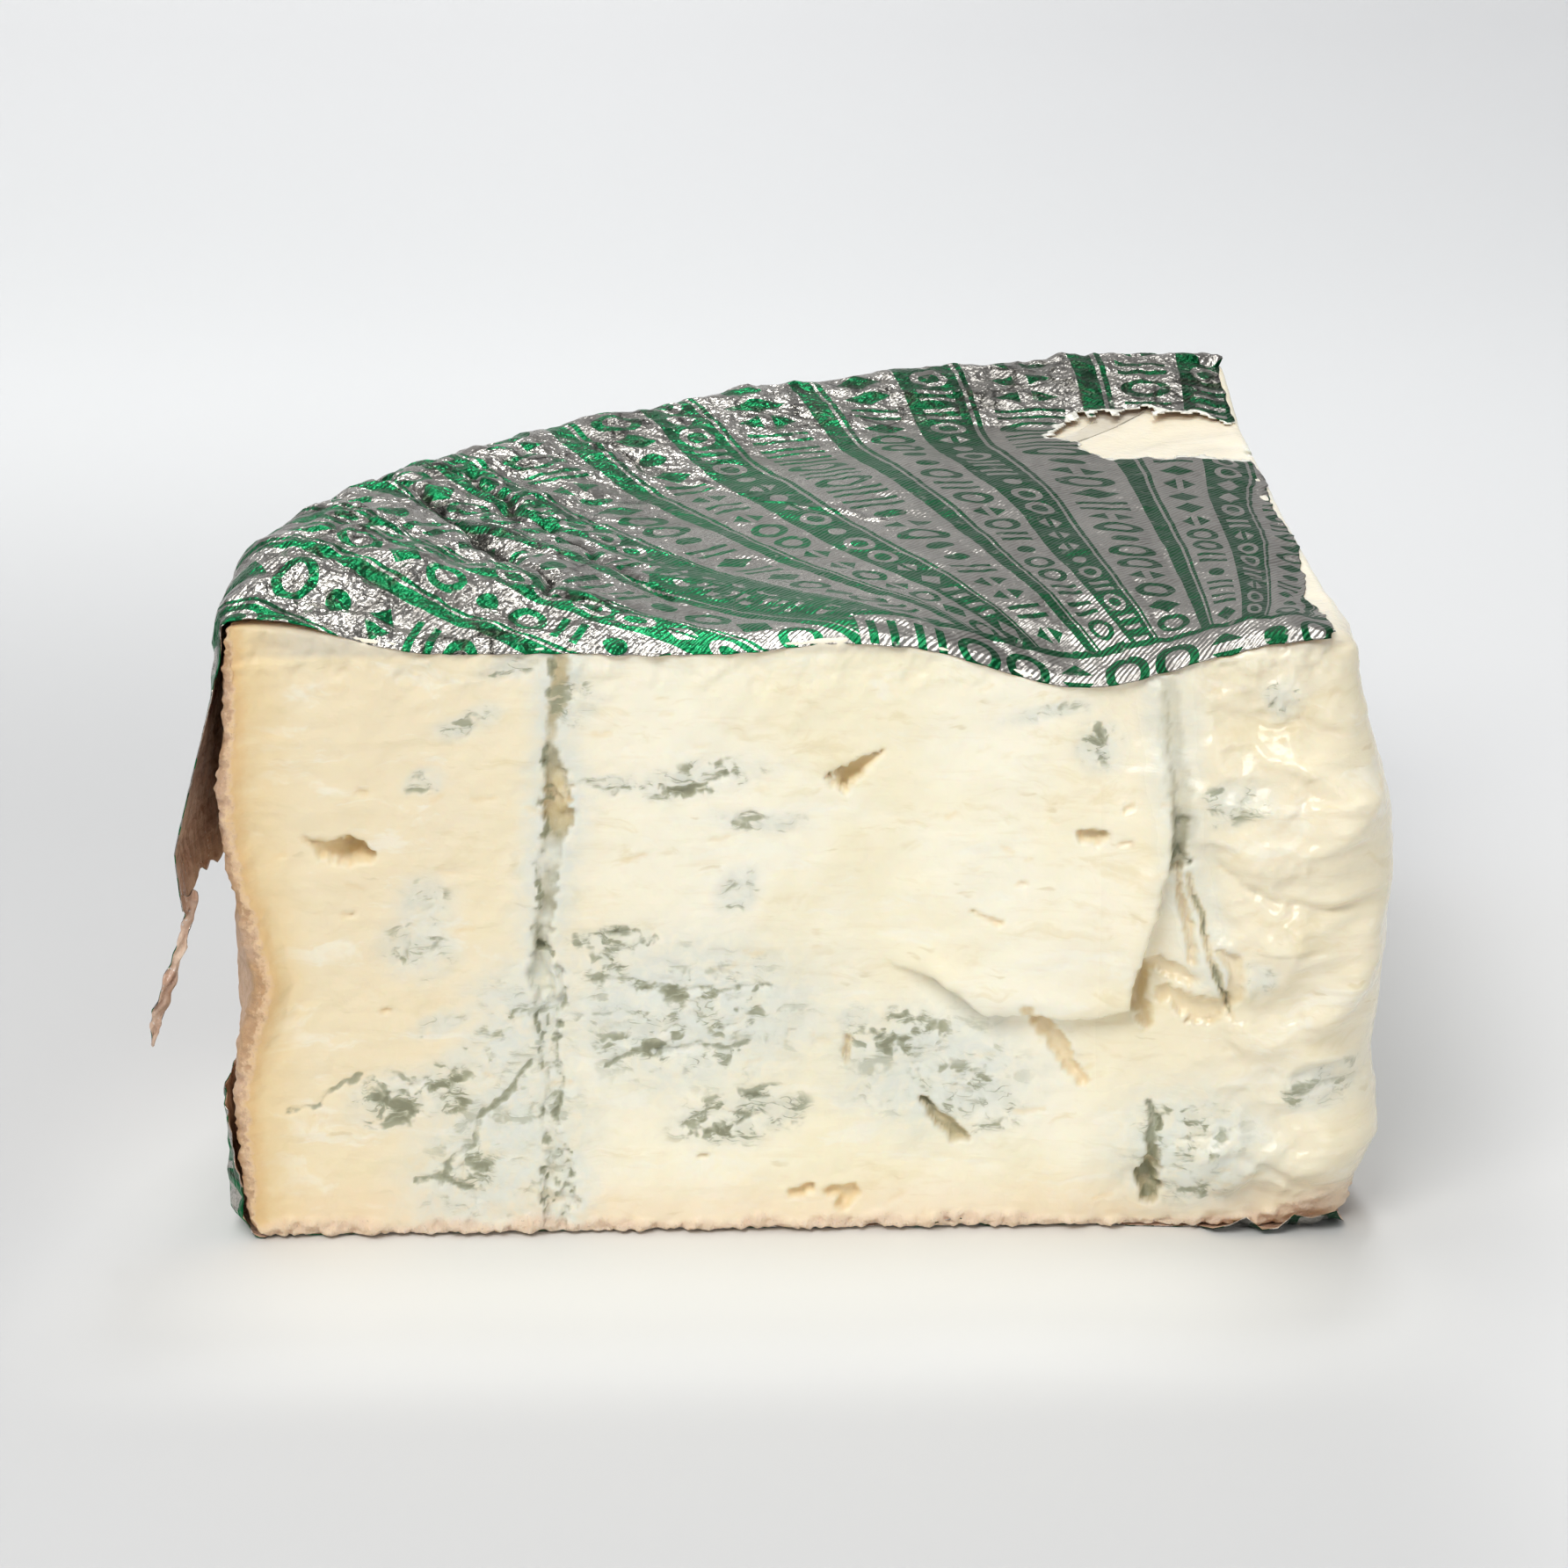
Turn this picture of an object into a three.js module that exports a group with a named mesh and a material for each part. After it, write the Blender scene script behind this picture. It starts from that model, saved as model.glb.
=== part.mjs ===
// A wedge of soft blue cheese: a quarter of the lower half of a round wheel, standing on its base rind.
// Two straight cuts meet at the wheel's axis, which is the wedge's tip. A printed foil lies over the top
// and folds down over the curved rind, with a torn strip hanging clear of it at the front. A second foil
// lies under the base and turns up round the foot of the rind.
// Millimetres, +Z up. The front cut faces -Y, the second cut faces +X, the curved rind faces -X and +Y.
import * as THREE from "three";

// ---- Driving dimensions -------------------------------------------------------------------------
const wheelRadius = 150; // the whole wheel is 300 mm across
const wedgeAngle = Math.PI / 2; // a quarter of the half wheel
const rimHeight = 88; // height of the cheese at the curved rind
const middleHeight = 84; // the soft paste sinks a little inside the rim
const edgeRound = 2.5; // where the cut faces meet the top and the base
const tipRound = 5; // plan radius of the slumped tip
const cornerRound = 3.5; // plan radius where a cut meets the rind
const shoulderRound = 5; // the foil's bend over the rim
const foilGap = 0.3;
const foilRise = 0.9; // the wrinkled top foil rides a little above the cheese
const foilThickness = 0.5;
const tipSlump = 7; // how far the tip swells past the cuts at half height
const tipSlumpReach = 42; // how far along the cuts that swelling fades out
const rindBarrel = 1.6; // the curved side is a little fuller at half height
const skirtDrop = 34; // mean depth of the top foil's fold down the rind
const flapStandOff = 9; // the loose flap's distance from the rind at its lower edge
const stripWidth = 6; // the torn strip below the flap
const stripDrop = 57; // how far below the rim its end hangs
const cuffHeight = 19; // mean height of the base foil's turned-up cuff

// Swells and dips of the top face: [x, y, height, radius], measured from the wheel's axis.
const topSwells = [
  [-36, 0, -4.6, 15],
  [-64, 4, 1.6, 15],
  [-116, 0, -1.6, 16],
  [-50, 78, 1.4, 26],
];

const cheeseFloor = foilThickness + foilGap;

// ---- Shared shape formulas ----------------------------------------------------------------------
const smooth = (low, high, x) => THREE.MathUtils.smoothstep(x, low, high);
const bell = (distance, reach) => Math.exp(-((distance / reach) ** 2));

function topHeight(x, y) {
  const outward = Math.hypot(x, y);
  let z = THREE.MathUtils.lerp(middleHeight, rimHeight, smooth(0.78, 0.99, outward / wheelRadius));
  for (const [atX, atY, height, radius] of topSwells) {
    z += height * bell(Math.hypot(x - atX, y - atY), radius);
  }
  return z;
}

// The rind's radius at a height: a slight barrel.
const rindRadius = (z) => wheelRadius + rindBarrel * Math.sin((Math.PI * z) / rimHeight);

// Closed plan outline, counter-clockwise from the front left corner, as points with outward normals.
function planOutline() {
  const points = [];
  const fillet = (centreX, centreY, radius, from, to, steps) => {
    for (let i = 0; i <= steps; i++) {
      const a = from + ((to - from) * i) / steps;
      const normal = new THREE.Vector2(Math.cos(a), Math.sin(a));
      points.push({ x: centreX + radius * normal.x, y: centreY + radius * normal.y, normal });
    }
  };
  const straight = (from, to, normal, steps) => {
    for (let i = 1; i < steps; i++) {
      const p = from.clone().lerp(to, i / steps);
      points.push({ x: p.x, y: p.y, normal });
    }
  };
  // A corner's fillet touches the rind circle inside and one straight cut.
  const reach = Math.sqrt((wheelRadius - cornerRound) ** 2 - cornerRound ** 2);
  const lean = Math.asin(cornerRound / (wheelRadius - cornerRound));
  fillet(-reach, cornerRound, cornerRound, Math.PI - lean, 1.5 * Math.PI, 4);
  const front = new THREE.Vector2(0, -1);
  straight(new THREE.Vector2(-reach, 0), new THREE.Vector2(-tipRound, 0), front, 24);
  fillet(-tipRound, tipRound, tipRound, -0.5 * Math.PI, 0, 6);
  const side = new THREE.Vector2(1, 0);
  straight(new THREE.Vector2(0, tipRound), new THREE.Vector2(0, reach), side, 20);
  fillet(-cornerRound, reach, cornerRound, 0, 0.5 * Math.PI + lean, 4);
  const arcSteps = 26;
  const sweep = wedgeAngle - 2 * lean;
  for (let i = 1; i < arcSteps; i++) {
    const a = 0.5 * Math.PI + lean + (sweep * i) / arcSteps;
    const normal = new THREE.Vector2(Math.cos(a), Math.sin(a));
    points.push({ x: wheelRadius * normal.x, y: wheelRadius * normal.y, normal });
  }
  return points;
}

// How far the soft paste stands out past a cut at this point and height share.
function slump(x, y, share) {
  const fullness = 0.15 + 0.85 * Math.sin(Math.PI * share) ** 0.8;
  return tipSlump * fullness * bell(Math.hypot(x, y), tipSlumpReach);
}

// ---- Mesh helpers -------------------------------------------------------------------------------
// A closed mesh from rings of equal length, each joined to the next, with a centre point at each end.
function closedFromRings(rings, firstCentre, lastCentre) {
  const count = rings[0].length;
  const positions = [...rings.flat(), firstCentre, lastCentre].flatMap((p) => p.toArray());
  const first = rings.length * count;
  const faces = [];
  for (let r = 0; r < rings.length - 1; r++) {
    for (let i = 0; i < count; i++) {
      const a = r * count + i;
      const b = r * count + ((i + 1) % count);
      faces.push(a, b, b + count, a, b + count, a + count);
    }
  }
  for (let i = 0; i < count; i++) {
    const next = (i + 1) % count;
    const top = (rings.length - 1) * count;
    faces.push(first, next, i, first + 1, top + i, top + next);
  }
  return indexed(positions, faces);
}

// A thin closed solid between two grids of the same size, with its four rims closed. The faces of the
// first grid look along its columns' direction crossed with its rows' direction.
function closedSheet(outer, inner) {
  const rows = outer.length;
  const columns = outer[0].length;
  const positions = [...outer.flat(), ...inner.flat()].flatMap((p) => p.toArray());
  const lift = rows * columns;
  const at = (r, c) => r * columns + c;
  const faces = [];
  const quad = (a, b, c, d) => faces.push(a, b, c, a, c, d);
  for (let r = 0; r < rows - 1; r++) {
    for (let c = 0; c < columns - 1; c++) {
      quad(at(r, c), at(r, c + 1), at(r + 1, c + 1), at(r + 1, c));
      quad(at(r, c) + lift, at(r + 1, c) + lift, at(r + 1, c + 1) + lift, at(r, c + 1) + lift);
    }
  }
  for (let c = 0; c < columns - 1; c++) {
    quad(at(0, c), at(0, c) + lift, at(0, c + 1) + lift, at(0, c + 1));
    const last = rows - 1;
    quad(at(last, c), at(last, c + 1), at(last, c + 1) + lift, at(last, c) + lift);
  }
  for (let r = 0; r < rows - 1; r++) {
    quad(at(r, 0), at(r + 1, 0), at(r + 1, 0) + lift, at(r, 0) + lift);
    const last = columns - 1;
    quad(at(r, last), at(r, last) + lift, at(r + 1, last) + lift, at(r + 1, last));
  }
  return indexed(positions, faces);
}

function indexed(positions, faces) {
  const geometry = new THREE.BufferGeometry();
  geometry.setAttribute("position", new THREE.Float32BufferAttribute(positions, 3));
  geometry.setIndex(faces);
  geometry.computeVertexNormals();
  return geometry;
}

// ---- The cheese ---------------------------------------------------------------------------------
function cheeseGeometry() {
  const outline = planOutline();
  const heights = [0, 0.012, 0.035, 0.15, 0.3, 0.45, 0.6, 0.75, 0.88, 0.965, 0.988, 1];
  const ringAt = (share) =>
    outline.map(({ x, y, normal }) => {
      const top = topHeight(x, y);
      const z = THREE.MathUtils.lerp(cheeseFloor, top, share);
      const onRind = smooth(0.97, 1, Math.hypot(x, y) / wheelRadius);
      const nearTop = share > 0.5;
      const round = nearTop ? THREE.MathUtils.lerp(edgeRound, shoulderRound, onRind) : edgeRound;
      const toEdge = Math.min(nearTop ? top - z : z - cheeseFloor, round);
      const roundedIn = round - Math.sqrt(round ** 2 - (round - toEdge) ** 2);
      const outBy = slump(x, y, share) + onRind * (rindRadius(z) - wheelRadius) - roundedIn;
      return new THREE.Vector3(x + normal.x * outBy, y + normal.y * outBy, z);
    });
  const rings = heights.map(ringAt);
  // The top face closes in rings towards a point near its middle.
  const middle = new THREE.Vector2(-62, 62);
  const edge = rings[rings.length - 1];
  for (const share of [0.9, 0.72, 0.5, 0.25]) {
    rings.push(
      edge.map((p) => {
        const x = THREE.MathUtils.lerp(middle.x, p.x, share);
        const y = THREE.MathUtils.lerp(middle.y, p.y, share);
        return new THREE.Vector3(x, y, topHeight(x, y));
      }),
    );
  }
  return closedFromRings(
    rings,
    new THREE.Vector3(middle.x, middle.y, cheeseFloor),
    new THREE.Vector3(middle.x, middle.y, topHeight(middle.x, middle.y)),
  );
}

// ---- The top foil -------------------------------------------------------------------------------
// How deep the fold down the rind reaches at an angle round from the front cut, in radians.
function skirtDepth(angle) {
  const along = angle * wheelRadius;
  const torn = 7 * Math.sin(angle * 5.3 + 0.4) + 3.5 * Math.sin(angle * 13 + 1);
  const strip = along > 1 && along < 1 + stripWidth;
  return strip ? stripDrop : skirtDrop + torn;
}

// The flap's stand-off from the rind: it opens forwards and downwards, like a door.
function flapOffset(angle, depth) {
  const along = angle * wheelRadius;
  return flapStandOff * (1 - smooth(0, 30, along)) * (depth / skirtDrop) ** 1.3;
}

function topFoilPoint(angle, travel, depthShare, lift) {
  const outward = new THREE.Vector2(-Math.cos(angle), Math.sin(angle));
  const flatEnd = wheelRadius - shoulderRound;
  if (travel <= 1) {
    const radius = 1 + (flatEnd - 1) * travel;
    const x = outward.x * radius;
    const y = outward.y * radius;
    return new THREE.Vector3(x, y, topHeight(x, y) + foilRise + lift);
  }
  const shoulderZ = rimHeight - shoulderRound;
  if (travel <= 2) {
    const a = (travel - 1) * 0.5 * Math.PI;
    const fullness = (rindRadius(shoulderZ) - wheelRadius) * (travel - 1);
    const radius = flatEnd + (shoulderRound + foilGap + lift) * Math.sin(a) + fullness;
    const z = shoulderZ + (shoulderRound + foilRise + lift) * Math.cos(a);
    return new THREE.Vector3(outward.x * radius, outward.y * radius, z);
  }
  const depth = depthShare * (skirtDepth(angle) - shoulderRound);
  const z = shoulderZ - depth;
  const radius = rindRadius(z) + foilGap + lift + flapOffset(angle, depth);
  return new THREE.Vector3(outward.x * radius, outward.y * radius, z);
}

function topFoilGeometry() {
  const edges = [0, 1, 1 + stripWidth].map((along) => along / wheelRadius);
  const hair = 0.2 / wheelRadius; // the strip's sides are nearly upright
  const angles = [edges[0], edges[1], edges[1] + hair, edges[2] - hair, edges[2]];
  const rest = 24;
  for (let i = 1; i <= rest; i++) angles.push(edges[2] + ((wedgeAngle - edges[2]) * i) / rest);
  const travels = [0, 0.1, 0.2, 0.32, 0.44, 0.56, 0.68, 0.79, 0.87, 0.94, 1, 1.33, 1.66, 2];
  const drops = [0.2, 0.4, 0.6, 0.8, 1];
  const grid = (lift) => [
    ...travels.map((t) => angles.map((a) => topFoilPoint(a, t, 0, lift))),
    ...drops.map((d) => angles.map((a) => topFoilPoint(a, 3, d, lift))),
  ];
  return closedSheet(grid(foilThickness), grid(0));
}

// ---- The base foil ------------------------------------------------------------------------------
function cuffTop(angle) {
  return cuffHeight + 4 * Math.sin(angle * 7 + 2) + 2 * Math.sin(angle * 17);
}

function baseFoilPoint(angle, travel, lift) {
  const outward = new THREE.Vector2(-Math.cos(angle), Math.sin(angle));
  const bend = shoulderRound / 2;
  const flatEnd = wheelRadius - bend;
  if (travel <= 1) {
    const radius = 1 + (flatEnd - 1) * travel;
    return new THREE.Vector3(outward.x * radius, outward.y * radius, foilThickness - lift);
  }
  if (travel <= 2) {
    const a = (travel - 1) * 0.5 * Math.PI;
    const sweep = bend + foilGap + lift;
    const radius = flatEnd + sweep * Math.sin(a);
    const z = foilThickness + bend + foilGap * Math.cos(a) - (bend + lift) * Math.cos(a);
    return new THREE.Vector3(outward.x * radius, outward.y * radius, z);
  }
  const foot = foilThickness + bend + foilGap;
  const z = THREE.MathUtils.lerp(foot, cuffTop(angle), travel - 2);
  const radius = rindRadius(z) + foilGap + lift;
  return new THREE.Vector3(outward.x * radius, outward.y * radius, z);
}

function baseFoilGeometry() {
  const columns = 28;
  const angles = Array.from({ length: columns + 1 }, (_, i) => (wedgeAngle * i) / columns);
  const travels = [0, 0.5, 1, 1.33, 1.66, 2, 2.33, 2.66, 3];
  const grid = (lift) => travels.map((t) => angles.map((a) => baseFoilPoint(a, t, lift)));
  return closedSheet(grid(0), grid(foilThickness));
}

// ---- Assembly -----------------------------------------------------------------------------------
const paste = new THREE.MeshStandardMaterial({ color: 0xf3e2bd, roughness: 0.5, metalness: 0 });
const printedFoil = new THREE.MeshStandardMaterial({ color: 0xa9b3ab, roughness: 0.32, metalness: 0.9 });
const plainFoil = new THREE.MeshStandardMaterial({ color: 0xc4c6c6, roughness: 0.3, metalness: 0.9 });

function piece(name, geometry, material) {
  const mesh = new THREE.Mesh(geometry, material);
  mesh.name = name;
  return mesh;
}

const wedge = new THREE.Group();
wedge.add(piece("cheese_wedge", cheeseGeometry(), paste));
wedge.add(piece("top_foil", topFoilGeometry(), printedFoil));
wedge.add(piece("base_foil", baseFoilGeometry(), plainFoil));

// The origin is the middle of the bounding box's underside.
const bounds = new THREE.Box3().setFromObject(wedge, true);
const centre = bounds.getCenter(new THREE.Vector3());
wedge.position.set(-centre.x, -centre.y, -bounds.min.z);

export default wedge;
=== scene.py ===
# %% [markdown]
# # A wedge of blue cheese in its foil
# The piece is a quarter of the lower half of a round cheese wheel, about 150 mm from its tip to
# its rind. Three things are there: the cheese with its rind, a printed foil draped over the top,
# and a second foil under the base. Each one is a single piece on the real wedge, so each one is a
# single mesh here, and the detail comes from dense meshes and from finishes.

# %% Load the fixed frame
import math

import bmesh
import bpy
import numpy as np
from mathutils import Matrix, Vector


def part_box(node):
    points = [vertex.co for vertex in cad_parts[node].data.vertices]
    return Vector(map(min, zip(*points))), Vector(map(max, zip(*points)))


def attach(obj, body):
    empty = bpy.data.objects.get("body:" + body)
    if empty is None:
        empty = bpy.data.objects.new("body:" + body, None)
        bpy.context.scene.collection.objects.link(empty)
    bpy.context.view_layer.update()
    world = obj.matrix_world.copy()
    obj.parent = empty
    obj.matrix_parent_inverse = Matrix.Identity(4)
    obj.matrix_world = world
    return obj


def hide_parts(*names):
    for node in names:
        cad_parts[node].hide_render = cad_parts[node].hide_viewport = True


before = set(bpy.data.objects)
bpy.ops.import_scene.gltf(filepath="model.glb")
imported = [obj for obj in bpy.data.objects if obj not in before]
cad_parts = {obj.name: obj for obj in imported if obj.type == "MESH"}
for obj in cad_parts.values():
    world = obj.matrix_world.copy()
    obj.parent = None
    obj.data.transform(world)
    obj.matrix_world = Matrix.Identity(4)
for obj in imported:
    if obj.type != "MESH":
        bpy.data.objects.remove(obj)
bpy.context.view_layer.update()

# %% [markdown]
# ## The measures that the frame gives
# All modelling here is done in millimetres from the wheel's axis, which is the wedge's tip, since
# a wheel is easiest to think of from its middle. The front cut runs along y = 0, the second cut
# along x = 0, and the rind is the arc between them. One function at the end turns such a place
# into metres in the frame. The base foil's cut edges lie right on the two cuts, so its box tells
# where the axis is.

# %% Wheel measures and the way back to metres
MM = 0.001
WHEEL_RADIUS = 150
RIM_HEIGHT = 88
MIDDLE_HEIGHT = 84
CHEESE_FLOOR = 0.45
EDGE_ROUND = 1.0
SHOULDER_ROUND = 5
TIP_ROUND = 5
CORNER_ROUND = 0.8
TIP_EDGE_ROUND = 3.5
RIND_BARREL = 1.6

base_low, base_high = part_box("base_foil")
AXIS = np.array([base_high[0], base_low[1], 0])


def in_metres(places):
    """Places in millimetres from the wheel's axis, as places in metres in the frame."""
    return np.asarray(places) * MM + AXIS


print("wheel axis at", AXIS.round(4))

# %% [markdown]
# ## Noise, steps and bells
# Natural surfaces need noise that is the same on every run. Blender has noise for one point at a
# time, which is slow for a hundred thousand points, so a gradient noise is written here for whole
# arrays. Smooth steps and bells are the other two everyday tools: a step for where something
# begins, a bell for a soft lump.

# %% Helpers for whole arrays of points
NOISE_TABLE = 256
noise_seed = np.random.default_rng(12)
SHUFFLE = np.tile(noise_seed.permutation(NOISE_TABLE), 2)
LEANS = noise_seed.normal(size=(NOISE_TABLE, 3))
LEANS /= np.linalg.norm(LEANS, axis=1, keepdims=True)


def smoothstep(low, high, value):
    share = np.clip((value - low) / (high - low), 0, 1)
    return share * share * (3 - 2 * share)


def bell(distance, reach):
    return np.exp(-((distance / reach) ** 2))


def noise(places, seed=0):
    """Gradient noise, about -1 to 1, at an array of places of any shape ending in 3."""
    shape = places.shape[:-1]
    places = places.reshape(-1, 3) + 31.7 * seed
    cell = np.floor(places).astype(int)
    inside = places - cell
    ease = inside**3 * (inside * (inside * 6 - 15) + 10)
    total = np.zeros(len(places))
    for corner in np.ndindex(2, 2, 2):
        key = (cell + corner) % NOISE_TABLE
        pick = SHUFFLE[SHUFFLE[SHUFFLE[key[:, 0]] + key[:, 1]] + key[:, 2]]
        share = np.prod(np.where(corner, ease, 1 - ease), axis=1)
        total += share * np.einsum("ij,ij->i", LEANS[pick], inside - corner)
    return 1.6 * total.reshape(shape)


def flat_places(first, second):
    return np.stack([first, second, np.zeros_like(first)], axis=-1)


FOLD_HEADINGS = 6


def folds(places, size, seed):
    """Crisp straight creases that cross, as in foil that was crumpled and smoothed again: 0 to 1."""
    draw = np.random.default_rng(seed)
    bent = places + 0.35 * size * flat_places(
        noise(places / (2.2 * size), seed), noise(places / (2.2 * size), seed + 1)
    )
    total = 0
    for turn in range(FOLD_HEADINGS):
        heading = draw.uniform(0, math.pi)
        length = size * draw.uniform(0.7, 2.0)
        across = bent[..., 0] * math.cos(heading) + bent[..., 1] * math.sin(heading)
        zigzag = 2 * np.abs((across / length + draw.uniform()) % 1 - 0.5)
        strength = smoothstep(-0.4, 0.4, noise(places / (1.4 * size), seed + 7 + turn))
        total = total + zigzag * strength * (length / size) / FOLD_HEADINGS
    return total


check_places = flat_places(np.linspace(0, 9, 50), np.linspace(0, 5, 50))
print("noise runs from", noise(check_places).min().round(2), "to", noise(check_places).max().round(2))

# %% [markdown]
# ## The shape that all three pieces share
# The top of the wheel sinks a little inside its rim and has a few swells and dips. The cheese and
# the foil over it both follow the same formula, which is what makes the foil look draped rather
# than laid on. The tip is the softest part of the wheel, so it sags outwards once it is cut.

# %% Shared shape formulas
TOP_SWELLS = [(-4, 0, 1.8, 14), (-36, 0, -4.8, 15), (-64, 4, 1.6, 15), (-113, 0, 0.5, 16), (-50, 78, 1.4, 26)]


def top_height(x, y):
    z = MIDDLE_HEIGHT + (RIM_HEIGHT - MIDDLE_HEIGHT) * smoothstep(
        0.78, 0.99, np.hypot(x, y) / WHEEL_RADIUS
    )
    for at_x, at_y, height, radius in TOP_SWELLS:
        z = z + height * bell(np.hypot(x - at_x, y - at_y), radius)
    return z


TIP_SAG_HEIGHTS = [0, 3, 13, 25, 38, 50, 60, 70, 80, 88]
TIP_SAG_AMOUNTS = [0.6, 2.6, 7.0, 5.6, 6.9, 8.4, 7.4, 4.8, 2.0, 0.6]
TIP_SAG_REACH = 33.6


def rind_radius(z):
    return WHEEL_RADIUS + RIND_BARREL * np.sin(math.pi * z / RIM_HEIGHT)


def tip_sag(x, y, z):
    """How far the tip's paste stands past the cuts: most at half height and again near the foot."""
    profile = np.interp(z, TIP_SAG_HEIGHTS, TIP_SAG_AMOUNTS)
    return profile * bell(np.hypot(x, y), TIP_SAG_REACH)


tip_level, rim_level = float(top_height(0, 0)), float(top_height(-149, 0))
print("top at the tip", round(tip_level, 1), "mm, at the rim", round(rim_level, 1))

# %% [markdown]
# ## Marks on a cut face
# A cut through blue cheese shows mould in torn little streaks round air pockets, each with a pale
# bluish halo, long channels where the wheel was pierced with needles, and holes with tan walls.
# One way is to paint all that in the finish alone, but then holes would be flat. Here each mark
# is laid on a cut face as a change of depth and, at the same time, as masks that the finish reads
# later, so relief and colour always agree. A cut face is a grid of points with u along the cut
# and z up.

# %% A cut face that marks are laid on
MASKS = ("vein", "patch", "halo", "cavity", "grey")


def distance_to(path, u, z):
    """How far each point is from a line through a few places, and its share of the way along."""
    path = np.asarray(path, float)
    nearest = np.full(u.shape, 1e9)
    along = np.zeros(u.shape)
    for i, (start, end) in enumerate(zip(path[:-1], path[1:])):
        run = end - start
        share = np.clip(((u - start[0]) * run[0] + (z - start[1]) * run[1]) / (run @ run), 0, 1)
        distance = np.hypot(u - start[0] - share * run[0], z - start[1] - share * run[1])
        closer = distance < nearest
        nearest = np.where(closer, distance, nearest)
        along = np.where(closer, (i + share) / (len(path) - 1), along)
    return nearest, along

print("cut faces measure distances to paths and carry", len(MASKS), "masks")


# %% The cut face itself
class CutFace:
    def __init__(self, u, z, seed):
        self.plain_u = u
        self.plain_z = z
        places = flat_places(u, z)
        coarse = noise(places / 5, seed), noise(places / 5, seed + 1)
        fine = noise(places / 1.3, seed + 2), noise(places / 1.3, seed + 3)
        self.u = u + 0.8 * coarse[0] + 0.35 * fine[0]
        self.z = z + 0.8 * coarse[1] + 0.35 * fine[1]
        self.depth = np.zeros(u.shape)
        self.masks = {name: np.zeros(u.shape) for name in MASKS}
        self.draw = np.random.default_rng(seed)
        self.ragged = np.clip(1 + 0.55 * noise(places / 1.1, seed + 4), 0.3, 1.7)

    def tint(self, name, amount, where=...):
        mask = self.masks[name]
        mask[where] = np.maximum(mask[where], amount)

    def slit(self, path, width, depth, cavity=0.0, mould=0.0, grey=0.0, edge=0.35):
        """An open slit or hole along a path. Width and depth are one number or one per place."""
        distance, along = distance_to(path, self.u, self.z)
        places = np.linspace(0, 1, len(path))
        half = np.interp(along, places, np.broadcast_to(width, len(path))) * self.ragged
        deep = np.interp(along, places, np.broadcast_to(depth, len(path)))
        inside = 1 - smoothstep(half - edge, half + edge, distance)
        self.depth -= deep * inside * (0.65 + 0.35 * np.clip(1 - distance / half, 0, 1))
        wide = 1 - smoothstep(half - 0.2, half + edge, distance)
        self.tint("cavity", cavity * wide)
        self.tint("grey", grey * wide)
        self.tint("vein", mould * inside)
        return distance, along, half

    def ridge(self, path, reach, height):
        distance, along = distance_to(path, self.u, self.z)
        self.depth += height * bell(distance, reach) * np.sin(math.pi * np.clip(along, 0.04, 0.96)) ** 0.5

    def mould_patch(self, u, z, long, high, tilt=0.0, strength=1.0, halo=0.7):
        """Torn mould inside a leaning oval, with a few longer veins and a pale halo round it."""
        turn = math.radians(tilt)
        off_u = self.u - u
        off_z = self.z - z
        local_u = (off_u * math.cos(turn) + off_z * math.sin(turn)) / long
        local_z = (off_z * math.cos(turn) - off_u * math.sin(turn)) / high
        spread = np.hypot(local_u, local_z)
        self.tint("halo", halo * (1 - smoothstep(0.5, 1.9, spread)))
        self.tint("patch", strength * (1 - smoothstep(0.7, 1.55, spread)))
        for _ in range(int(1 + 0.12 * long * high)):
            off = self.draw.uniform(-0.7, 0.7, 2) * (long, high)
            mid = np.array([
                u + off[0] * math.cos(turn) - off[1] * math.sin(turn),
                z + off[0] * math.sin(turn) + off[1] * math.cos(turn),
            ])
            lean = turn + self.draw.normal(0, 0.3)
            half = self.draw.uniform(0.25, 0.55) * min(long, 5) * np.array([math.cos(lean), math.sin(lean)])
            kink = self.draw.normal(0, 0.5, 2)
            streak = [mid - half, mid + kink, mid + half]
            self.slit(streak, [0.12, 0.32, 0.12], 0.6 * strength, mould=0.6 * strength)


print("a cut face carries the masks", MASKS)

# %% [markdown]
# ## The front cut
# This is the face that the wedge shows. It has two needle channels, a soft lip of paste that
# sagged over the lower part, and mould mostly in the lower left. Every place below is in
# millimetres from the rind's edge and from the base.

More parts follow.
